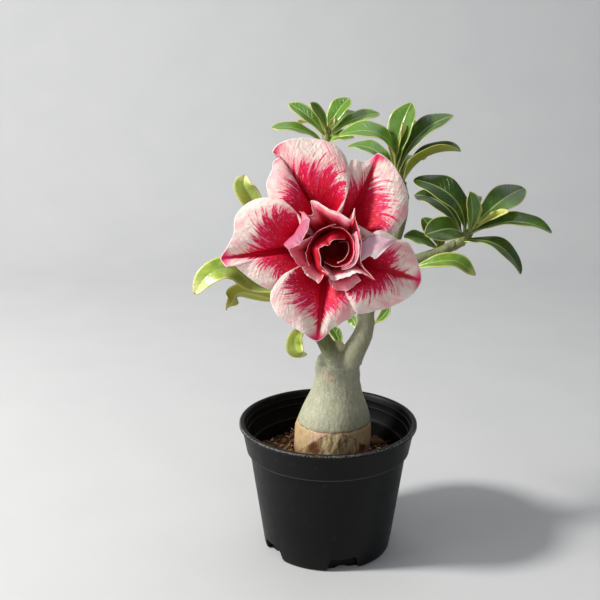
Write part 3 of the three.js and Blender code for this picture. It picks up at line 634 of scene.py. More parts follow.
def leaf_finish(name, dark, mid, young, margin, rib, gloss, wax):
    """Leaf skin whose green follows each leaf's age, from 0, old, to 1, just opened."""
    finish = Finish(name, Specular_IOR_Level=0.55)
    across, far, inward = finish.marks("blade")
    age, share, seed = finish.marks("growth")
    patch = finish.noise(0.16, 4, 0.6)
    fine = finish.noise(1.7, 3, 0.6)
    aged = age + (patch * 0.5 - 0.25)
    veer = far - abs(across) * 0.9
    wobble = finish.noise(0.35, 1, at=(veer, across, seed)) * 2.2 + veer
    vein = abs(finish.maths("SINE", wobble * 1.15)).rise(0.2, 0.02)
    midrib = (abs(across) - (share * -0.5 + 0.75)).rise(0.15, -0.15)
    border = (inward - (age * 1.2 + 0.12)).rise(0.3, -0.2)
    green = finish.layered(
        dark,
        (aged.rise(0.0, 0.5), mid),
        (aged.rise(0.5, 1.0), young),
        (fine * 0.25, mid),
        (vein * 0.1, rib),
        (midrib * 0.75, rib),
        (border * 0.65, margin),
        (share.rise(0.84, 0.95) * age.rise(0.56, 0.62) * 0.7, (226, 222, 156)),
        ((patch * 0.03 + share).rise(0.995, 1.01), (128, 78, 34)))
    finish.set(Base_Color=green, Roughness=fine * 0.22 + gloss, Coat_Weight=wax, Coat_Roughness=0.2,
               Normal=finish.bump(vein, -0.35, 0.5, finish.bump(fine, 0.12, 0.35)))
    return finish


leaf_top = leaf_finish("leaf_top", (32, 62, 4), (92, 136, 36), (206, 214, 86),
                       MARGIN_GREEN, (160, 178, 100), 0.2, 0.35)
# Underside: its bright yellow-olive is partly the leaf's own paler underside and partly painted light,
# standing in for light that shines through the leaf.
leaf_under_and_backlight = leaf_finish("leaf_under_and_backlight", (140, 146, 36), (164, 166, 34), (198, 202, 46),
                         MARGIN_GREEN, (196, 200, 128), 0.34, 0.1)
leaf_rim = Finish("leaf_rim", Roughness=0.4)
edge_tone = leaf_rim.noise(0.4, 3)
leaf_rim.set(Base_Color=leaf_rim.blend(edge_tone, (160, 168, 66), (212, 206, 118)))
green_stalk = Finish("green_stalk", Specular_IOR_Level=0.4, Roughness=0.5)
rind = green_stalk.noise(0.9, 4, 0.6, stretch=(1, 1, 0.35))
green_stalk.set(Base_Color=green_stalk.blend(rind, (88, 98, 46), (150, 156, 98)),
                Normal=green_stalk.bump(rind, 0.3, 0.5))


def leaf_outline(t):
    """Half the width at t along the leaf, as a part of the greatest half width."""
    return max(0.16 * (1 - t) + 0.03, math.sin(math.pi * t ** 1.75) ** 0.6 if 0 < t < 1 else 0)


def grown_leaf(bm, place_at, width, faces, fold, age, seed, across=12, along=30):
    """Adds one leaf. place_at(t) gives its midrib's place, and faces the way its upper side looks."""
    first_face, last_face = Vector(faces[0]), Vector(faces[-1])
    blade = bm.verts.layers.float_vector["blade"]
    growth = bm.verts.layers.float_vector["growth"]
    thick = bm.verts.layers.deform.verify()
    lengths = lengths_up_to([place_at(k / RIB_SAMPLES) for k in range(RIB_SAMPLES + 1)])
    wave = random.Random(seed)
    phase, waves = wave.uniform(0, math.tau), wave.uniform(2.0, 3.4)
    sheet = bmesh.ops.create_grid(bm, x_segments=across, y_segments=along, size=1)["verts"]
    for v in sheet:
        s, u = v.co.x, (v.co.y + 1) / 2
        t = u - 0.08 * math.sin(math.tau * u)
        onward = (place_at(min(t + 0.005, 1)) - place_at(max(t - 0.005, 0))).normalized()
        side = onward.cross(first_face.lerp(last_face, t)).normalized()
        up = side.cross(onward)
        half = width / 2 * leaf_outline(t)
        lift = math.radians(fold) * (1 - 0.35 * t)
        beat = math.sin(waves * math.tau * t + phase + (1.7 if s > 0 else 0))
        ripple = 0.03 * width * s * s * beat * (t > 0.1)
        groove = 0.22 * math.exp(-((s * half / 0.8) ** 2)) * smoothstep(t, 0.02, 0.15)
        bow = abs(s) * half * math.sin(lift) * (1 - 0.12 * abs(s)) + ripple - groove
        v.co = place_at(t) + side * (s * half * math.cos(lift)) + up * bow
        far = lengths[round(t * RIB_SAMPLES)]
        v[blade] = (s * half, far, min((1 - abs(s)) * half, (1 - t) * lengths[-1] + 0.2))
        v[growth] = (age, t, seed % 17)
        body = 0.3 + 0.7 * math.exp(-((s * half / 1.1) ** 2)) * (1 - 0.75 * t)
        v[thick][0] = body * (1 if abs(s) < 0.95 else 0.6)


def arched(foot, reach, arch, face):
    """The midrib of a leaf from foot to foot + reach, bowed by arch towards its upper side."""
    onward, up = Vector(reach), Vector(face)
    up = (up - onward * (up.dot(onward) / onward.length_squared)).normalized()
    knee, tip = foot + onward / 2 + up * 2 * arch, foot + onward
    return (lambda t: foot * (1 - t) ** 2 + knee * (2 * t * (1 - t)) + tip * t ** 2), up


def curled(points):
    """The midrib of a curled leaf through points."""
    places = spline(points)
    return lambda t: Vector(smooth_line(places, t * (len(places) - 1)))


def marked_mesh(*names):
    """An empty mesh whose points keep three numbers under each name."""
    bm = bmesh.new()
    for name in names:
        bm.verts.layers.float_vector.new(name)
    return bm


def thickened(piece, middle, thinnest=0.0):
    """Gives sheets their thickness, with the second finish underneath and the third on the rim."""
    piece.vertex_groups.new(name="thick")
    wall = piece.modifiers.new("thickness", "SOLIDIFY")
    wall.thickness, wall.offset, wall.vertex_group = middle * MM, 0, "thick"
    wall.thickness_vertex_group = thinnest
    wall.material_offset, wall.material_offset_rim = 1, 2
    rounded = piece.modifiers.new("rounded", "SUBSURF")
    rounded.levels = rounded.render_levels = 1


def leafy_piece(bm, name, node):
    piece = finished(bm, name, node, "leaves", leaf_top, leaf_under_and_backlight, leaf_rim)
    thickened(piece, LEAF_MIDDLE, LEAF_THINNEST)


# ===== Leafy shoots. Each grows from the end of a branch: a short green stalk with leaves in a loose
# spiral, the oldest lowest and darkest, and the youngest folded upright in the middle.
STALK_GRAIN = 0.35
STALK_PASSES = 6
# A shoot's row: its node, foot, length and radius, and its leaves. A leaf's row: how far up the shoot
# it grows, its reach, width, arch, the way its upper side faces, its fold in degrees and its age.
shoots = [
    ("shoot_top", (35.8, 8, 182.7), (-5.8, 0, 15.3), 2.5, [
        (0.6, (6.5, 2, 33.5), 15, 4.5, (-0.7, -0.9, 0.2), 22, 0.28),
        (0.9, (3.5, -6, 20.5), 6.5, 1, (0.5, -0.5, 0.2), 50, 0.95),
        (0.8, (11, 12, 21), 10, 2, (-0.5, -1, 0.6), 30, 0.25),
        (0.5, (26, 2, 29), 14.5, 7.5, (-0.9, -0.75, 0.8), 24, 0.14),
        (0.2, (27, -8, 18), 16, 6, (-0.45, 0.02, 1), 56, 0.12),
        (0.7, (-28, -4, 17), 15, 12, (0.2, -0.5, 1), 20, 0.5),
        (0.4, (-24, 16, 14), 12, 7, (0, -0.4, 1), 20, 0.35),
        (0.6, (4, 26, 17), 13, 7, (0, 0.3, 1), 20, 0.3),
        (0.3, (14, 25, 8), 13, 6, (0, 0.2, 1), 22, 0.15)]),
    ("shoot_right", (63.5, 6, 158.3), (7.5, 0, 7.2), 2.5, [
        (0.3, (-25, 2, 28.5), 17, 12, (0.5, -0.75, 0.6), 18, 0.05),
        (0.2, (-22.5, 12, 20), 14, 9, (0.3, -0.7, 0.7), 22, 0.05),
        (0.3, (-21, -16, 5), 14.5, 6, (0.1, -0.8, 0.8), 15, 0.12),
        (0.6, (-2, -10, 22.5), 9.5, 2, (0.4, -0.8, 0.2), 30, 0.3),
        (0.9, (1.5, -6, 14), 4.5, 0.5, (0.6, -0.5, 0.3), 45, 0.7),
        (0.9, (15, -10, 11), 6, 1, (-0.5, -0.5, 0.6), 50, 1.0),
        (0.7, (27, 8, 20.5), 16, 4.5, (-0.5, -0.8, 0.6), 12, 0.18),
        (0.4, (42, -2, 2.5), 14.5, 7, (0, -0.36, 1), 28, 0.25),
        (0, (29.5, -8, -14), 14, 8.5, (0.3, -0.45, 1), 16, 0.1),
        (0.5, (22, 22, 6.5), 12, 4, (0, -0.1, 1), 20, 0.15),
        (0.7, (3, 25, 13), 13, 6, (0, 0.2, 1), 20, 0.2)]),
    ("shoot_side", (54.2, 12.6, 150.8), (2.8, 2.4, 6.2), 1.7, [
        (0.2, (-18, -5.5, 9), 10, 2.5, (0, -0.6, 1), 22, 0.3),
        (0.5, (-8.5, 6, 14), 10.5, 1, (0.4, -0.8, 0.4), 22, 0.2),
        (0.8, (4, 3.5, 9), 6, 0.5, (-0.4, -0.8, 0.4), 25, 0.45)]),
    ("shoot_back", (-1.1, 45.4, 197), (1.1, -0.4, 12), 2.4, [
        (0.3, (-28, -3, 9.5), 11, 4, (0, -0.4, 1), 20, 0.45),
        (0.6, (-19.5, 5, 17.5), 10, 3, (0.5, -0.8, 0.6), 20, 0.5),
        (0.8, (-9, -5, 16.5), 8, 1.5, (0.7, -0.6, 0.3), 30, 0.55),
        (0.8, (11.5, 5, 18), 12, 2.5, (-0.7, -1, 0.5), 25, 0.42),
        (1, (3.5, -3, 6), 4, 0.5, (0, -1, 0.5), 40, 0.8),
        (0.7, (16.5, 17, 11), 10, 3, (-0.3, -0.8, 1), 20, 0.4),
        (0.6, (27.5, 5, 12.5), 10, 4, (0, -0.6, 1), 20, 0.5),
        (0.3, (14, -5, 5), 9, 3, (0, -0.6, 1), 20, 0.4),
        (0.4, (-14, 22, 8), 11, 5, (0, 0.2, 1), 20, 0.4),
        (0.2, (5, 27, 4), 12, 6, (0, 0.1, 1), 20, 0.35)]),
]
for number, (node, foot, axis, radius, leaves) in enumerate(shoots):
    foot, axis = Vector(foot), Vector(axis)
    bm, stalk = marked_mesh("blade", "growth"), bmesh.new()
    limb(stalk, [foot - axis.normalized() * 4, foot, foot + axis / 2, foot + axis],
         [radius * 0.8, radius * 1.08, radius, radius * 0.4], spacing=0.8)
    for k, (at, reach, width, arch, face, fold, age) in enumerate(leaves):
        seat, out = foot + axis * at, Vector(reach).normalized()
        place_at, up = arched(seat, reach, arch, face)
        grown_leaf(bm, place_at, width, [up], fold, age, 20 * number + k)
        limb(stalk, [seat, seat + out * 1.6, seat + out * 3.4], [1.5, 1.2, 0.5], sides=10, spacing=0.7)
    leafy_piece(bm, node + "_leaves", node)
    stalk_piece = finished(stalk, node + "_stalk", node, "leaves", green_stalk)
    grown_together(stalk_piece, STALK_GRAIN, STALK_PASSES)

# ===== Lone leaves. Five leaves that grow straight from the bark of the stems, away from the shoots.
# A row: the places along its midrib, its width, the ways its upper side faces, its fold and its age.
lone_leaves = {
    "leaf_right_low": ([(37.6, 3.1, 144.3), (48.5, -2, 149.6), (60.5, -5, 151.5), (70.5, -6, 145)],
                       11, [(0, -0.6, 0.8), (0.2, -0.5, 0.9)], 16, 0.6),
    "leaf_right_stem": ([(22.5, -1.8, 119.5), (26, -5, 123.6), (29.5, -7.6, 129.6)],
                        5.5, [(-0.4, -0.8, 0.3)], 30, 0.3),
    "leaf_left_hanging": ([(-9.5, -10.3, 117.6), (-12.4, -12.4, 119.4), (-16, -15, 117.2),
                           (-16.9, -16, 112.5), (-14.8, -16, 108.5), (-10.8, -15, 107.5)],
                          9, [(-0.1, -0.6, 0.8), (-1, -0.6, 0), (0, -0.6, -0.8)], 10, 0.78),
    "leaf_fork_low": ([(5.5, 3.4, 103.1), (4.6, 8.2, 109), (1, 11, 114.4)],
                      6.5, [(0.3, -0.8, 0.4)], 20, 0.45),
    "leaf_fork_high": ([(14.4, 3.3, 113.5), (13, 7.6, 117.5), (9.6, 10, 121)],
                       6, [(-0.5, -0.8, 0.3)], 20, 0.4),
}
for number, (node, (points, *leaf)) in enumerate(lone_leaves.items()):
    bm = marked_mesh("blade", "growth")
    grown_leaf(bm, curled(points), *leaf, 100 + number)
    leafy_piece(bm, node + "_blade", node)

# ===== Flowering shoot. The left stem ends in leaves that curl and twist, and in the stalk and the
# five-lobed calyx that hold the bloom.
BLOOM_EYE = Vector((0.5, -40, 166.5))
BLOOM_TILT_DEG = -12.5
bloom_frame = Matrix.Translation(BLOOM_EYE) @ Matrix.Rotation(math.radians(BLOOM_TILT_DEG), 4, "X")


def in_bloom(right, up, out):
    return bloom_frame @ Vector((right, -out, up))


tube_foot, tube_middle, tube_top = in_bloom(-3.1, -1.8, -33.2), in_bloom(0, 0, -24), in_bloom(0, 0, -12.6)
calyx_axis = (tube_middle - tube_foot).normalized()
flowering_leaves = [
    ([(-14.6, -10, 144), (-22, -11, 161), (-33, -12, 177), (-37.5, -13, 185), (-40, -14, 190),
      (-39.5, -14, 194.5)], 11.5, [(-0.2, -0.9, 0.3), (-0.35, -0.9, 0.1)], 26, 0.76),
    ([(-14.4, -10, 141), (-26, -11.5, 139), (-37.5, -14, 142), (-44, -15, 149), (-51, -16.4, 150.6),
      (-58.5, -17.6, 146.6), (-64, -18, 138.5)], 13, [(0.2, -0.6, 0.8), (-0.4, -0.8, 0.5)], 16, 0.72),
    ([(-14.2, -10.4, 140), (-27, -10, 134.5), (-37, -11, 137), (-44, -13, 138), (-47, -16, 134),
      (-49.5, -18, 131)], 13, [(0, 1, 0.2), (0.2, 0.5, 0.9)], 12, 0.62),
    ([(-14.6, -9.6, 145), (-20, 2, 153), (-29, 12, 156), (-37, 20, 152)],
     12, [(0, -0.3, 1), (-0.4, 0.3, 1)], 20, 0.4),
    ([(-14.6, -9, 143), (-12, 6, 150), (-10, 19, 154), (-9, 30, 151)],
     12, [(0, -0.2, 1), (0, 0.4, 1)], 20, 0.35),
]
bm = marked_mesh("blade", "growth")
for number, (points, *leaf) in enumerate(flowering_leaves):
    grown_leaf(bm, curled(points), *leaf, 110 + number)
SEPAL_COUNT = 5
sepal_profile = [(-2, 1.4), (-0.4, 4.4), (3.6, 7.2), (7.4, 10.6)]
sideways = Vector((1, 0.12, 0)).normalized()
above = calyx_axis.cross(sideways).normalized()
for k in range(SEPAL_COUNT):
    turn = (k + 0.3) / SEPAL_COUNT * math.tau
    outward = sideways * math.cos(turn) + above * math.sin(turn)
    line = [tube_foot + calyx_axis * far + outward * radius for far, radius in sepal_profile]
    grown_leaf(bm, curled(line), 4.6, [-outward], 6, 0.55, 120 + k, across=8, along=16)
leafy_piece(bm, "shoot_flowering_leaves", "shoot_flowering")
stalk = bmesh.new()
limb(stalk, [(-13.7, -9.3, 135.4), (-14.4, -10, 142), (-15, -10.4, 149)], [3.1, 3, 1.4], spacing=0.8)
limb(stalk, [(-14.2, -10, 141), (-10.2, -6, 149.5), tube_foot - calyx_axis * 5, tube_foot - calyx_axis * 0.6],
     [2.1, 1.8, 2, 2.7], spacing=0.8)
stalk_piece = finished(stalk, "shoot_flowering_stalk", "shoot_flowering", "leaves", green_stalk)
grown_together(stalk_piece, STALK_GRAIN)

# ===== Bloom. A double trumpet: five wide outer petals with crimson throats, magenta streaks and
# cream fields, ten shorter rosy ones that stand up round the eye and roll into its centre, two margins
# that fold back to show their pale sides, the tube behind them and the loose thread in the eye.
PETAL_MIDDLE = 0.6
FRILL_SEED = 1
noise.seed_set(FRILL_SEED)


def petal_skin(name):
    """A petal's finish with what each place knows: s, t and seed, then across, far and inward."""
    finish = Finish(name, Roughness=0.5, Specular_IOR_Level=0.3, Subsurface_Weight=0.3,
                    Subsurface_Scale=0.002, Subsurface_Radius=(1.0, 0.5, 0.55))
    return finish, *finish.marks("petal"), *finish.marks("spot")


def petal_finish(name, solid_reach, streak_reach, crimson, magenta, field, blush, edge):
    """Petal skin streaked from the throat outwards. How far the streaks reach is a part of the petal."""
    finish, s, t, seed, across, far, inward = petal_skin(name)
    wing = finish.maths("SIGN", s) * 7.0 + seed
    fan = t * -0.5 + abs(s)
    broad, fine, dashes = [
        finish.noise(1.0, 2, 0.6, at=(fan * across_scale, t * along_scale, wing + shift))
        for across_scale, along_scale, shift in [(20.0, 1.3, 0.0), (50.0, 4.2, 3.0), (66.0, 12.0, 5.0)]]
    blotch = finish.noise(1.0, 2, at=(across * 0.1, far * 0.07, wing))
    crinkle = finish.noise(1.0, 4, 0.6, at=(across * 0.5, far * 0.28, wing))
    ragged = broad * 0.42 + fine * 0.34 + dashes * 0.24
    fade = (t - solid_reach) / (streak_reach - solid_reach)
    drawn_out = ragged - (fade * 0.24 + 0.385)
    halo = drawn_out.rise(-0.09, 0.02) * fade.rise(1.6, 0.7)
    glint = dashes.rise(0.6, 0.68) * fade.rise(-0.6, 0.2)
    midrib = (abs(across) - (t * -3.6 + 4.1) - ragged * 3.0).rise(-0.8, -2.0)
    to_tip = (1.0 - t) * 46.0 + abs(across)
    deep = finish.blend(0.3, crimson, (136, 0, 16))
    skin = finish.layered(
        field,
        (blotch.rise(0.4, 0.68), blush),
        (fine.rise(0.48, 0.66) * 0.4, blush),
        (halo * 0.5, magenta),
        (drawn_out.rise(-0.02, 0.03), magenta),
        (drawn_out.rise(0.02, 0.14), crimson),
        (glint * 0.8, blush),
        (midrib, finish.blend(t.rise(0.75, 0.97), deep, magenta)),
        (to_tip.rise(9.0, 3.0) * 0.9, magenta),
        (t.rise(0.3, 0.05), deep),
        (inward.rise(0.4, 0.05), edge))
    finish.set(Base_Color=skin, Normal=finish.bump(fine, 0.5, 0.5, finish.bump(crinkle, 1.6, 0.55)))
    return finish


def rosy_finish(name, deep, rose, lit, pale):
    """Skin of the inner petals: deep red low down, rose above, and pale past each petal's own reach."""
    finish, s, t, seed, across, far, inward = petal_skin(name)
    veins = finish.noise(1.0, 3, 0.6, at=(s * 26.0, t * 1.8, seed))
    cloud = finish.noise(1.0, 2, at=(across * 0.16, far * 0.12, seed))
    share = (t + (veins * 0.3 - 0.15)) / finish.mark("reach")
    skin = finish.layered(
        deep,
        (share.rise(0.2, 0.65), rose),
        (share.rise(0.5, 0.95) * cloud.rise(0.36, 0.62) * 0.8, lit),
        (share.rise(0.94, 1.12), pale),
        (veins.rise(0.54, 0.7) * 0.35, rose),
        (inward.rise(0.3, 0.0), (250, 220, 214)))
    finish.set(Base_Color=skin, Normal=finish.bump(veins, 0.5, 0.45, finish.bump(cloud, 0.8, 0.3)))
    return finish


def rim_finish(name, low, low_other, high, high_other):
    """The cut edge of a petal: the petal's own colour at its sides, and pale at its margin."""
    finish = Finish(name, Roughness=0.55)
    along = finish.marks("petal")[1]
    frill = finish.noise(0.8, 2)
    margin = finish.blend(frill, high, high_other)
    finish.set(Base_Color=finish.layered(finish.blend(frill, low, low_other),
                                         ((frill * 0.1 + along).rise(0.95, 1.05), margin)))
    return finish


outer_skin = petal_finish("outer_petal", 0.48, 0.86, (212, 0, 48), (222, 14, 92), (242, 222, 212),
                          (238, 172, 174), (250, 236, 226))
outer_back = petal_finish("outer_petal_back", 0.1, 0.5, (204, 74, 104), (226, 120, 152), (240, 214, 208),
                          (232, 166, 172), (250, 234, 226))
fold_skin = rosy_finish("folded_petal", (240, 200, 212), (240, 186, 202), (250, 234, 232), (252, 244, 238))
rolled_skin = rosy_finish("rolled_petal", (206, 84, 104), (214, 128, 144), (230, 180, 190), (238, 208, 212))
inner_skin = rosy_finish("inner_petal", (220, 16, 44), (236, 96, 118), (246, 156, 164), (248, 216, 216))
inner_back = rosy_finish("inner_petal_back", (180, 30, 60), (178, 84, 112), (182, 130, 164), (246, 204, 214))
heart_skin = rosy_finish("heart_petal", (160, 0, 14), (182, 0, 30), (206, 24, 58), (240, 190, 200))
outer_rim = rim_finish("outer_rim", (214, 60, 100), (236, 150, 164), (242, 206, 202), (252, 242, 232))
inner_rim = rim_finish("inner_rim", (186, 8, 24), (210, 36, 62), (234, 140, 152), (248, 218, 210))


def petal_surface(margin, tip, angle, spread=34, fold=None, ring=7, depth=-13.5, flare=0.85, rise=2.4,
                  crease=0, lobe=0, belly=0, crown=0, ruffle=0.4, waves=9, frill=0.7, phase=0):
    """The petal's place for s along its margin, with its tip at 0, and t from the throat to the margin."""
    last = len(margin) - 1

    def place_at(s, t):
        edge = smooth_line(margin, (s + 1) * tip if s < 0 else tip + s * (last - tip))
        turn = math.radians(angle - spread * s)
        foot = smooth_line(fold, (s + 1) / 2 * (len(fold) - 1)) if fold else (
            ring * math.cos(turn), ring * math.sin(turn), depth)
        crimp = noise.noise_vector(Vector((s * 7, phase * 3, 0)))
        crimp += 0.4 * noise.noise_vector(Vector((s * 17, phase, 5)))
        edge = [e + frill * c * t ** 5 for e, c in zip(edge, crimp)]
        opened = t ** flare
        push = belly * math.sin(math.pi * t)
        right = lerp(foot[0], edge[0], opened) + push * math.cos(turn)
        up = lerp(foot[1], edge[1], opened) + push * math.sin(turn)
        out = foot[2] * (1 - t) ** rise + edge[2] * t ** 1.5
        out += crown * math.sin(math.pi * min(t / 0.95, 1)) ** 2 * t
        out -= crease * math.exp(-((s / 0.16) ** 2)) * math.sin(math.pi * t) ** 0.8
        out += lobe * math.sin(math.pi * abs(s)) * math.sin(math.pi * t ** 1.2)
        out += ruffle * math.sin(waves * s) * t ** 4
        out += 0.45 * ruffle * math.sin(2.7 * waves * s + phase) * t ** 7
        return in_bloom(right, up, out)

    return place_at


def petal(bm, form, seed, across, along):
    """Adds one petal as a sheet that knows how far each place is from its midrib, throat and margin."""
    marks = bm.verts.layers.float_vector["petal"]
    spot = bm.verts.layers.float_vector["spot"]
    reaches = bm.verts.layers.float["reach"]
    thick = bm.verts.layers.deform.verify()
    left_reach, right_reach = form.pop("reach", (1, 1))
    place_at = petal_surface(**form, phase=seed)
    sheet = bmesh.ops.create_grid(bm, x_segments=across, y_segments=along, size=1)["verts"]
    for v in sheet:
        s, t = v.co.x, (v.co.y + 1) / 2
        place = place_at(s, t)
        rib = place_at(0, t)
        side = place_at(math.copysign(1, s), t)
        inward = (place - place_at(s, 1)).length
        v.co = place
        v[marks] = (s, t, seed)
        v[reaches] = lerp(left_reach, right_reach, smoothstep(s, -0.5, 0.3))
        v[spot] = (math.copysign((place - rib).length, s), (place - place_at(s, 0)).length, inward)
        v[thick][0] = 0.28 + 0.72 * smoothstep(min(inward, (place - side).length), 0, 4) + 0.3 * (1 - t)


outer_form = dict(crease=3, lobe=3, ruffle=0.7, spread=34)
# Margins run clockwise, as seen from the front, in (right, up, out) of the bloom's own frame.
outer_petals = [
    dict(angle=180, tip=7, margin=[
        (-14.5, -12.5, -5), (-21.5, -17.5, -6), (-28.5, -19.4, -6), (-36, -15.8, -6), (-41.5, -10.6, -5),
        (-45, -7.2, -4), (-47.6, -9.2, -2), (-50.4, -5.2, -4), (-46.8, 0, -2), (-44, 6, -1),
        (-43.4, 13.6, -1), (-37.6, 19.6, -1), (-29, 22, 0), (-21, 20, 0), (-16, 13.5, 0), (-14, 6, 0)]),
    dict(angle=108, tip=7, margin=[
        (-15, 11, -5), (-22, 15, -6), (-28, 20.5, -6), (-29.6, 27, -5), (-27.8, 33.5, -4), (-26.6, 37.8, -3),
        (-23.6, 40.3, -2), (-27, 42.4, -4), (-24, 45.8, -3), (-18.5, 47.8, -3), (-11, 48.8, -3),
        (-3.5, 47.2, -2), (3, 42.8, -1), (7, 35.8, 0), (7.2, 28, 0), (4.5, 20.5, 0), (1.5, 15, 0)]),
    dict(angle=42, tip=5, margin=[
        (2.5, 14, -5), (5.5, 23, -6), (6.5, 32, -6), (8.3, 38.4, -4), (14.6, 38, -4), (20.4, 41.4, -4),
        (26.8, 36.4, -3), (31.4, 28, -2), (33.6, 20.5, -1), (32, 12.4, 0), (27, 5.5, 0), (21, 4.5, 0),
        (14.5, 7.5, 0), (10, 10.5, 0)]),
    dict(angle=-38, tip=7, margin=[
        (9.5, 0.5, -3), (13.8, 3.2, 2.6), (20.4, 7.4, 4.5), (27.4, 4, 2.5), (31, 2.8, 2), (34.8, -0.4, 1),
        (38, -7, -1), (39.8, -15.5, -3), (34.8, -22, -3), (27, -26.4, -3), (19, -28.8, -2), (11.5, -29.8, -2),
        (6.5, -24, -2), (5, -14.5, -1)]),
    dict(angle=252, tip=5, margin=[
        (4, -15, -5), (9, -23.5, -5), (10.8, -30, -5), (5.2, -34.2, -4), (-1.5, -37.6, -4), (-7, -43, -4),
        (-14, -38.4, -3), (-19.8, -34.4, -3), (-25.6, -29.2, -2), (-28.2, -23, -1), (-26.2, -17.5, 0),
        (-21.5, -12, 0), (-16.5, -9.5, 0)]),
]
inner_form = dict(ring=5.5, depth=-14, flare=0.7, rise=2.3, waves=11, frill=0.5, reach=(1.15, 1.15))
INNER_COUNT = 7
inner_petals = [
    dict(angle=88, spread=60, tip=4, crown=6, reach=(1.15, 0.8), margin=[
        (-14.9, 15.7, 2), (-12.4, 13.8, 4.5), (-10.6, 13.6, 5), (-9, 14.9, 5), (-10.1, 20, 2),
        (-7.8, 20, 2.5), (-4.3, 18, 4), (-1.5, 16.3, 5.5), (2.3, 15, 6.5), (7.7, 12, 7.5), (9.1, 16.9, 5)]),
    dict(angle=142, spread=22, tip=3, belly=7, margin=[
        (-19.6, -1.4, 4), (-17.8, -0.6, 6), (-14.7, 1.2, 7.5), (-13, 4, 8.5), (-11.6, 6.6, 9),
        (-10.6, 9.6, 9), (-10.6, 11.8, 8), (-12.4, 12.2, 6.5), (-13.4, 10.6, 5.5)]),
    dict(angle=192, spread=36, tip=3, crown=3, reach=(1.1, 1.1), margin=[
        (-12.4, -9.4, 4), (-15.2, -8.4, 5), (-17.7, -5, 5.5), (-19.6, -1.6, 6), (-17, 0.2, 7),
        (-13.4, 2.6, 8), (-9.2, 4.8, 8)]),
    dict(angle=0, spread=56, tip=3, belly=2, crown=2, reach=(0.9, 0.9), margin=[
        (9.1, 16.9, 5), (9.6, 11.7, 7.5), (11, 6.9, 8.5), (11.9, 2.2, 9), (11.6, -4.6, 8.5), (12.4, -8, 7.5),
        (15.2, -11, 6.5), (18.6, -14.6, 5)]),
    dict(angle=-75, spread=50, tip=4, crown=4, reach=(0.7, 0.7), margin=[
        (18.4, -14.8, 4.5), (15, -12.8, 6), (11.8, -11.8, 7), (8.3, -12, 7), (5.4, -13.6, 6),
        (2.3, -14.2, 5.5), (-0.2, -14.8, 5), (-2.2, -12.8, 6), (-5, -10.4, 6)]),
    dict(angle=-80, spread=34, tip=3, crown=3, reach=(1, 1), margin=[
        (12.5, -14.6, 2), (9.8, -17.2, 1.5), (5.8, -19.3, 1), (1.5, -19, 1), (-1.2, -17, 1.5),
        (-2, -14.4, 2.5)]),
    dict(angle=-130, spread=36, tip=2, crown=4, reach=(0.9, 0.9), margin=[
        (-4.6, -13, 3.5), (-6.3, -16, 2), (-10, -13.8, 2.5), (-12.6, -11.5, 3), (-14.2, -8.4, 4.5)]),
    dict(angle=140, spread=60, tip=2, ring=4, belly=1, crown=2, reach=(1.3, 1.3), margin=[
        (-10.5, -8.5, 4.5), (-12, -5, 5.5), (-11.6, -1, 6.5), (-9.5, 3.5, 7), (-5.5, 7.8, 7), (1, 10, 7)]),
    dict(angle=-12, spread=100, tip=4, ring=3.4, belly=1, crown=2, reach=(1.1, 1.1), margin=[
        (-1, 8.6, 6), (3.5, 8, 6.5), (7, 5.6, 7), (8.8, 1.5, 7), (8.9, -3.6, 7), (6.8, -7.4, 6.5),
        (3.4, -8.8, 6.5), (-0.5, -8.6, 5.5), (-4.4, -6.4, 4.5)]),
    dict(angle=150, spread=100, tip=4, ring=3.4, belly=4, crown=1, reach=(1.3, 1.3), margin=[
        (-1.2, -12.6, 5.5), (-5, -9, 6.5), (-5.8, -4, 7.5), (-6.4, -0.8, 8), (-3.8, 0.5, 8), (-1.8, 0.8, 8),
        (-0.5, 2.7, 7.5), (5.2, 3.2, 4.5)]),
]
# The right petal's upper margin is folded over towards the front, and the margin of the largest petal
# in the centre rolls back, so that their pale backs show.
folded_form = dict(angle=90, spread=0, rise=1, flare=1, crown=1.5, ruffle=0, frill=0.3)
folded_margins = [
    dict(tip=2, fold=[(12.4, 1.6, 2.4), (16.4, 5, 3.4), (20.4, 7.3, 4.4), (24, 6, 3.6), (27.3, 3.9, 2.5)],
         margin=[(12.1, -6.4, 7), (15.9, -4.2, 7.6), (18.4, -5.4, 8), (23.4, -0.8, 6), (27.2, 2.6, 3.6)]),
    dict(tip=2, fold=[(8.3, 5.2, 6.3), (8.6, 1.3, 6.6), (8.6, -3.4, 6.6), (6.7, -7, 6.1), (3.2, -8.4, 5.9)],
         margin=[(9.9, 6.8, 7.6), (11, 1.4, 8), (10.9, -4.4, 7.8), (8.2, -8.8, 6.6), (3.6, -10.2, 5.8)]),
]


def petal_piece(name, shared, forms, grid, *skins, first_seed=1):
    """Petals that share a form, but for what each has of its own, as one piece.

    grid is how many faces each petal has across and along."""
    bm = marked_mesh("petal", "spot")
    bm.verts.layers.float.new("reach")
    for seed, form in enumerate(forms, first_seed):
        petal(bm, {**shared, **form}, seed, *grid)
    thickened(finished(bm, name, "bloom", "petals", *skins), PETAL_MIDDLE)


petal_piece("outer_petals", outer_form, outer_petals, (64, 30), outer_skin, outer_back, outer_rim)
petal_piece("inner_petals", inner_form, inner_petals[:INNER_COUNT], (48, 20),
            inner_skin, inner_back, inner_rim)
petal_piece("heart_petals", inner_form, inner_petals[INNER_COUNT:], (48, 20),
            heart_skin, heart_skin, inner_rim, first_seed=INNER_COUNT + 1)
petal_piece("folded_margin", folded_form, folded_margins[:1], (36, 12), fold_skin, fold_skin, outer_rim)
petal_piece("rolled_margin", folded_form, folded_margins[1:], (36, 8), rolled_skin, rolled_skin, outer_rim,
            first_seed=2)

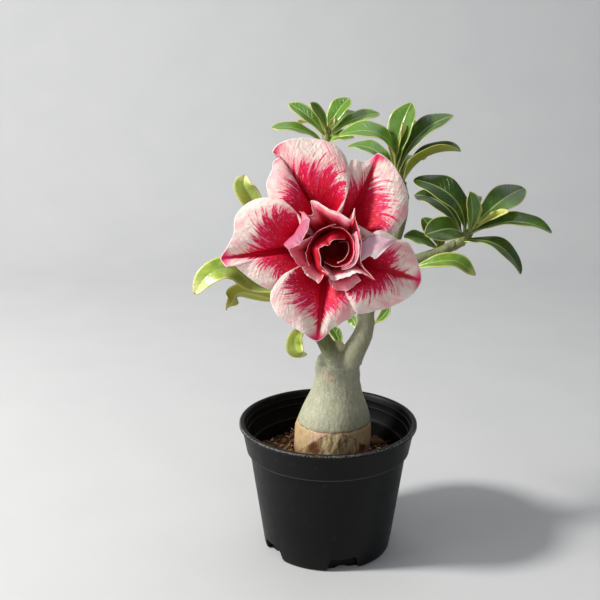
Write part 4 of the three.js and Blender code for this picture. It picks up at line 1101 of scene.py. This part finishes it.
throat = Finish("throat", Roughness=0.6, Specular_IOR_Level=0.3)
flush = throat.noise(0.6, 3, stretch=(1, 0.3, 1))
from_eye = throat.away(throat.place(), tuple(in_bloom(0, 0, -13)))
outside = throat.blend(flush, (206, 176, 120), (226, 150, 150))
tube_skin = throat.layered(throat.blend(flush, (130, 0, 14), (176, 6, 34)), (from_eye.rise(9, 18), outside))
throat.set(Base_Color=tube_skin, Normal=throat.bump(flush, 0.4, 0.4))
tube = bmesh.new()
limb(tube, [tube_foot, tube_middle, tube_top], [2.3, 5, 8.6], sides=48, spacing=0.7)
finished(tube, "bloom_tube", "bloom", "petals", throat)
filament = Finish("filament", Roughness=0.5)
blushed = filament.noise(0.7, 2)
filament.set(Base_Color=filament.blend(blushed, (208, 60, 84), (246, 190, 190)))
thread = bmesh.new()
thread_line = [(3, 2, -10), (6.4, 1.8, 1), (6.5, -2.4, 4.6), (4.6, -5.6, 5), (2.2, -7, 5.4)]
limb(thread, [in_bloom(*p) for p in thread_line], [0.3, 0.3, 0.28, 0.26, 0.24], sides=8, spacing=0.5)
thread_end = Matrix.Translation(in_bloom(2.1, -7, 5.4))
bmesh.ops.create_icosphere(thread, subdivisions=2, radius=0.5, matrix=thread_end)
finished(thread, "bloom_thread", "bloom", "petals", filament)

# ===== Setting. A pale paper floor that curves up into a backdrop, and the camera at the height and
# distance that the pot's rim and foot give. A hard key light stands at the upper left, with a broad
# window under it, a skylight overhead and a soft fill by the camera. Everything here is in metres.
FLOOR_HALF = 2.2
FLOOR_FRONT_Y = -1.6
BACK_Y = 0.9
BACK_TOP = 2.0
BEND = 0.35
BEND_STEPS = 12
CAMERA_DOWN_DEG = 15.6
AIM = Vector((0.01, -0.01, 0.12))
setting = Finish("pale_paper", Roughness=0.9, Specular_IOR_Level=0.1)
tooth = setting.noise(0.02, 3)
setting.set(Base_Color=setting.blend(tooth, (196, 197, 199), (203, 204, 205)))
paper_line = [(FLOOR_FRONT_Y, 0), (-0.8, 0), (0, 0), (BACK_Y - BEND, 0)]
for k in range(1, BEND_STEPS + 1):
    turn = math.radians(90 * k / BEND_STEPS)
    paper_line.append((BACK_Y - BEND + BEND * math.sin(turn), BEND * (1 - math.cos(turn))))
paper_line.append((BACK_Y, BACK_TOP))
paper = bmesh.new()
line = [paper.verts.new((-FLOOR_HALF, y, z)) for y, z in paper_line]
strip = [paper.edges.new(pair) for pair in zip(line, line[1:])]
across = bmesh.ops.extrude_edge_only(paper, edges=strip)["geom"]
far_side = [v for v in across if isinstance(v, bmesh.types.BMVert)]
bmesh.ops.translate(paper, vec=(2 * FLOOR_HALF, 0, 0), verts=far_side)
bmesh.ops.recalc_face_normals(paper, faces=paper.faces)
floor = in_scene("floor_paper", mesh_of(paper, "floor_paper", unit=1))
floor.data.materials.append(setting.material)
floor.data.shade_smooth()

camera = in_scene("camera", bpy.data.cameras.new("camera"))
camera.data.lens, camera.data.sensor_width = 60, 36
camera.location = (-0.0142, -0.4732, 0.2629)
camera.rotation_euler = (math.radians(90 - CAMERA_DOWN_DEG), 0, 0)
bpy.context.scene.camera = camera

for name, place, size, power, colour in [
    ("key", (-0.96, -0.22, 0.86), 0.2, 19, (1.0, 0.97, 0.92)),
    ("window", (-1.2, -0.4, 0.4), 0.9, 6, (0.95, 0.98, 1.0)),
    ("skylight", (0.15, 0.2, 1.3), 1.0, 3, (0.96, 0.98, 1.0)),
    ("fill", (0.2, -1.1, 0.95), 1.0, 2.6, (0.96, 0.97, 1.0)),
]:
    light = in_scene(name, bpy.data.lights.new(name, "AREA"))
    light.data.shape, light.data.size, light.data.energy, light.data.color = "DISK", size, power, colour
    light.location = place
    light.rotation_euler = (AIM - Vector(place)).to_track_quat("-Z", "Y").to_euler()
world = bpy.data.worlds.new("room")
world.use_nodes = True
background = world.node_tree.nodes["Background"]
background.inputs["Color"].default_value = (0.9, 0.94, 1.0, 1)
background.inputs["Strength"].default_value = 0.15
bpy.context.scene.world = world
bpy.context.scene.view_settings.view_transform = "Standard"
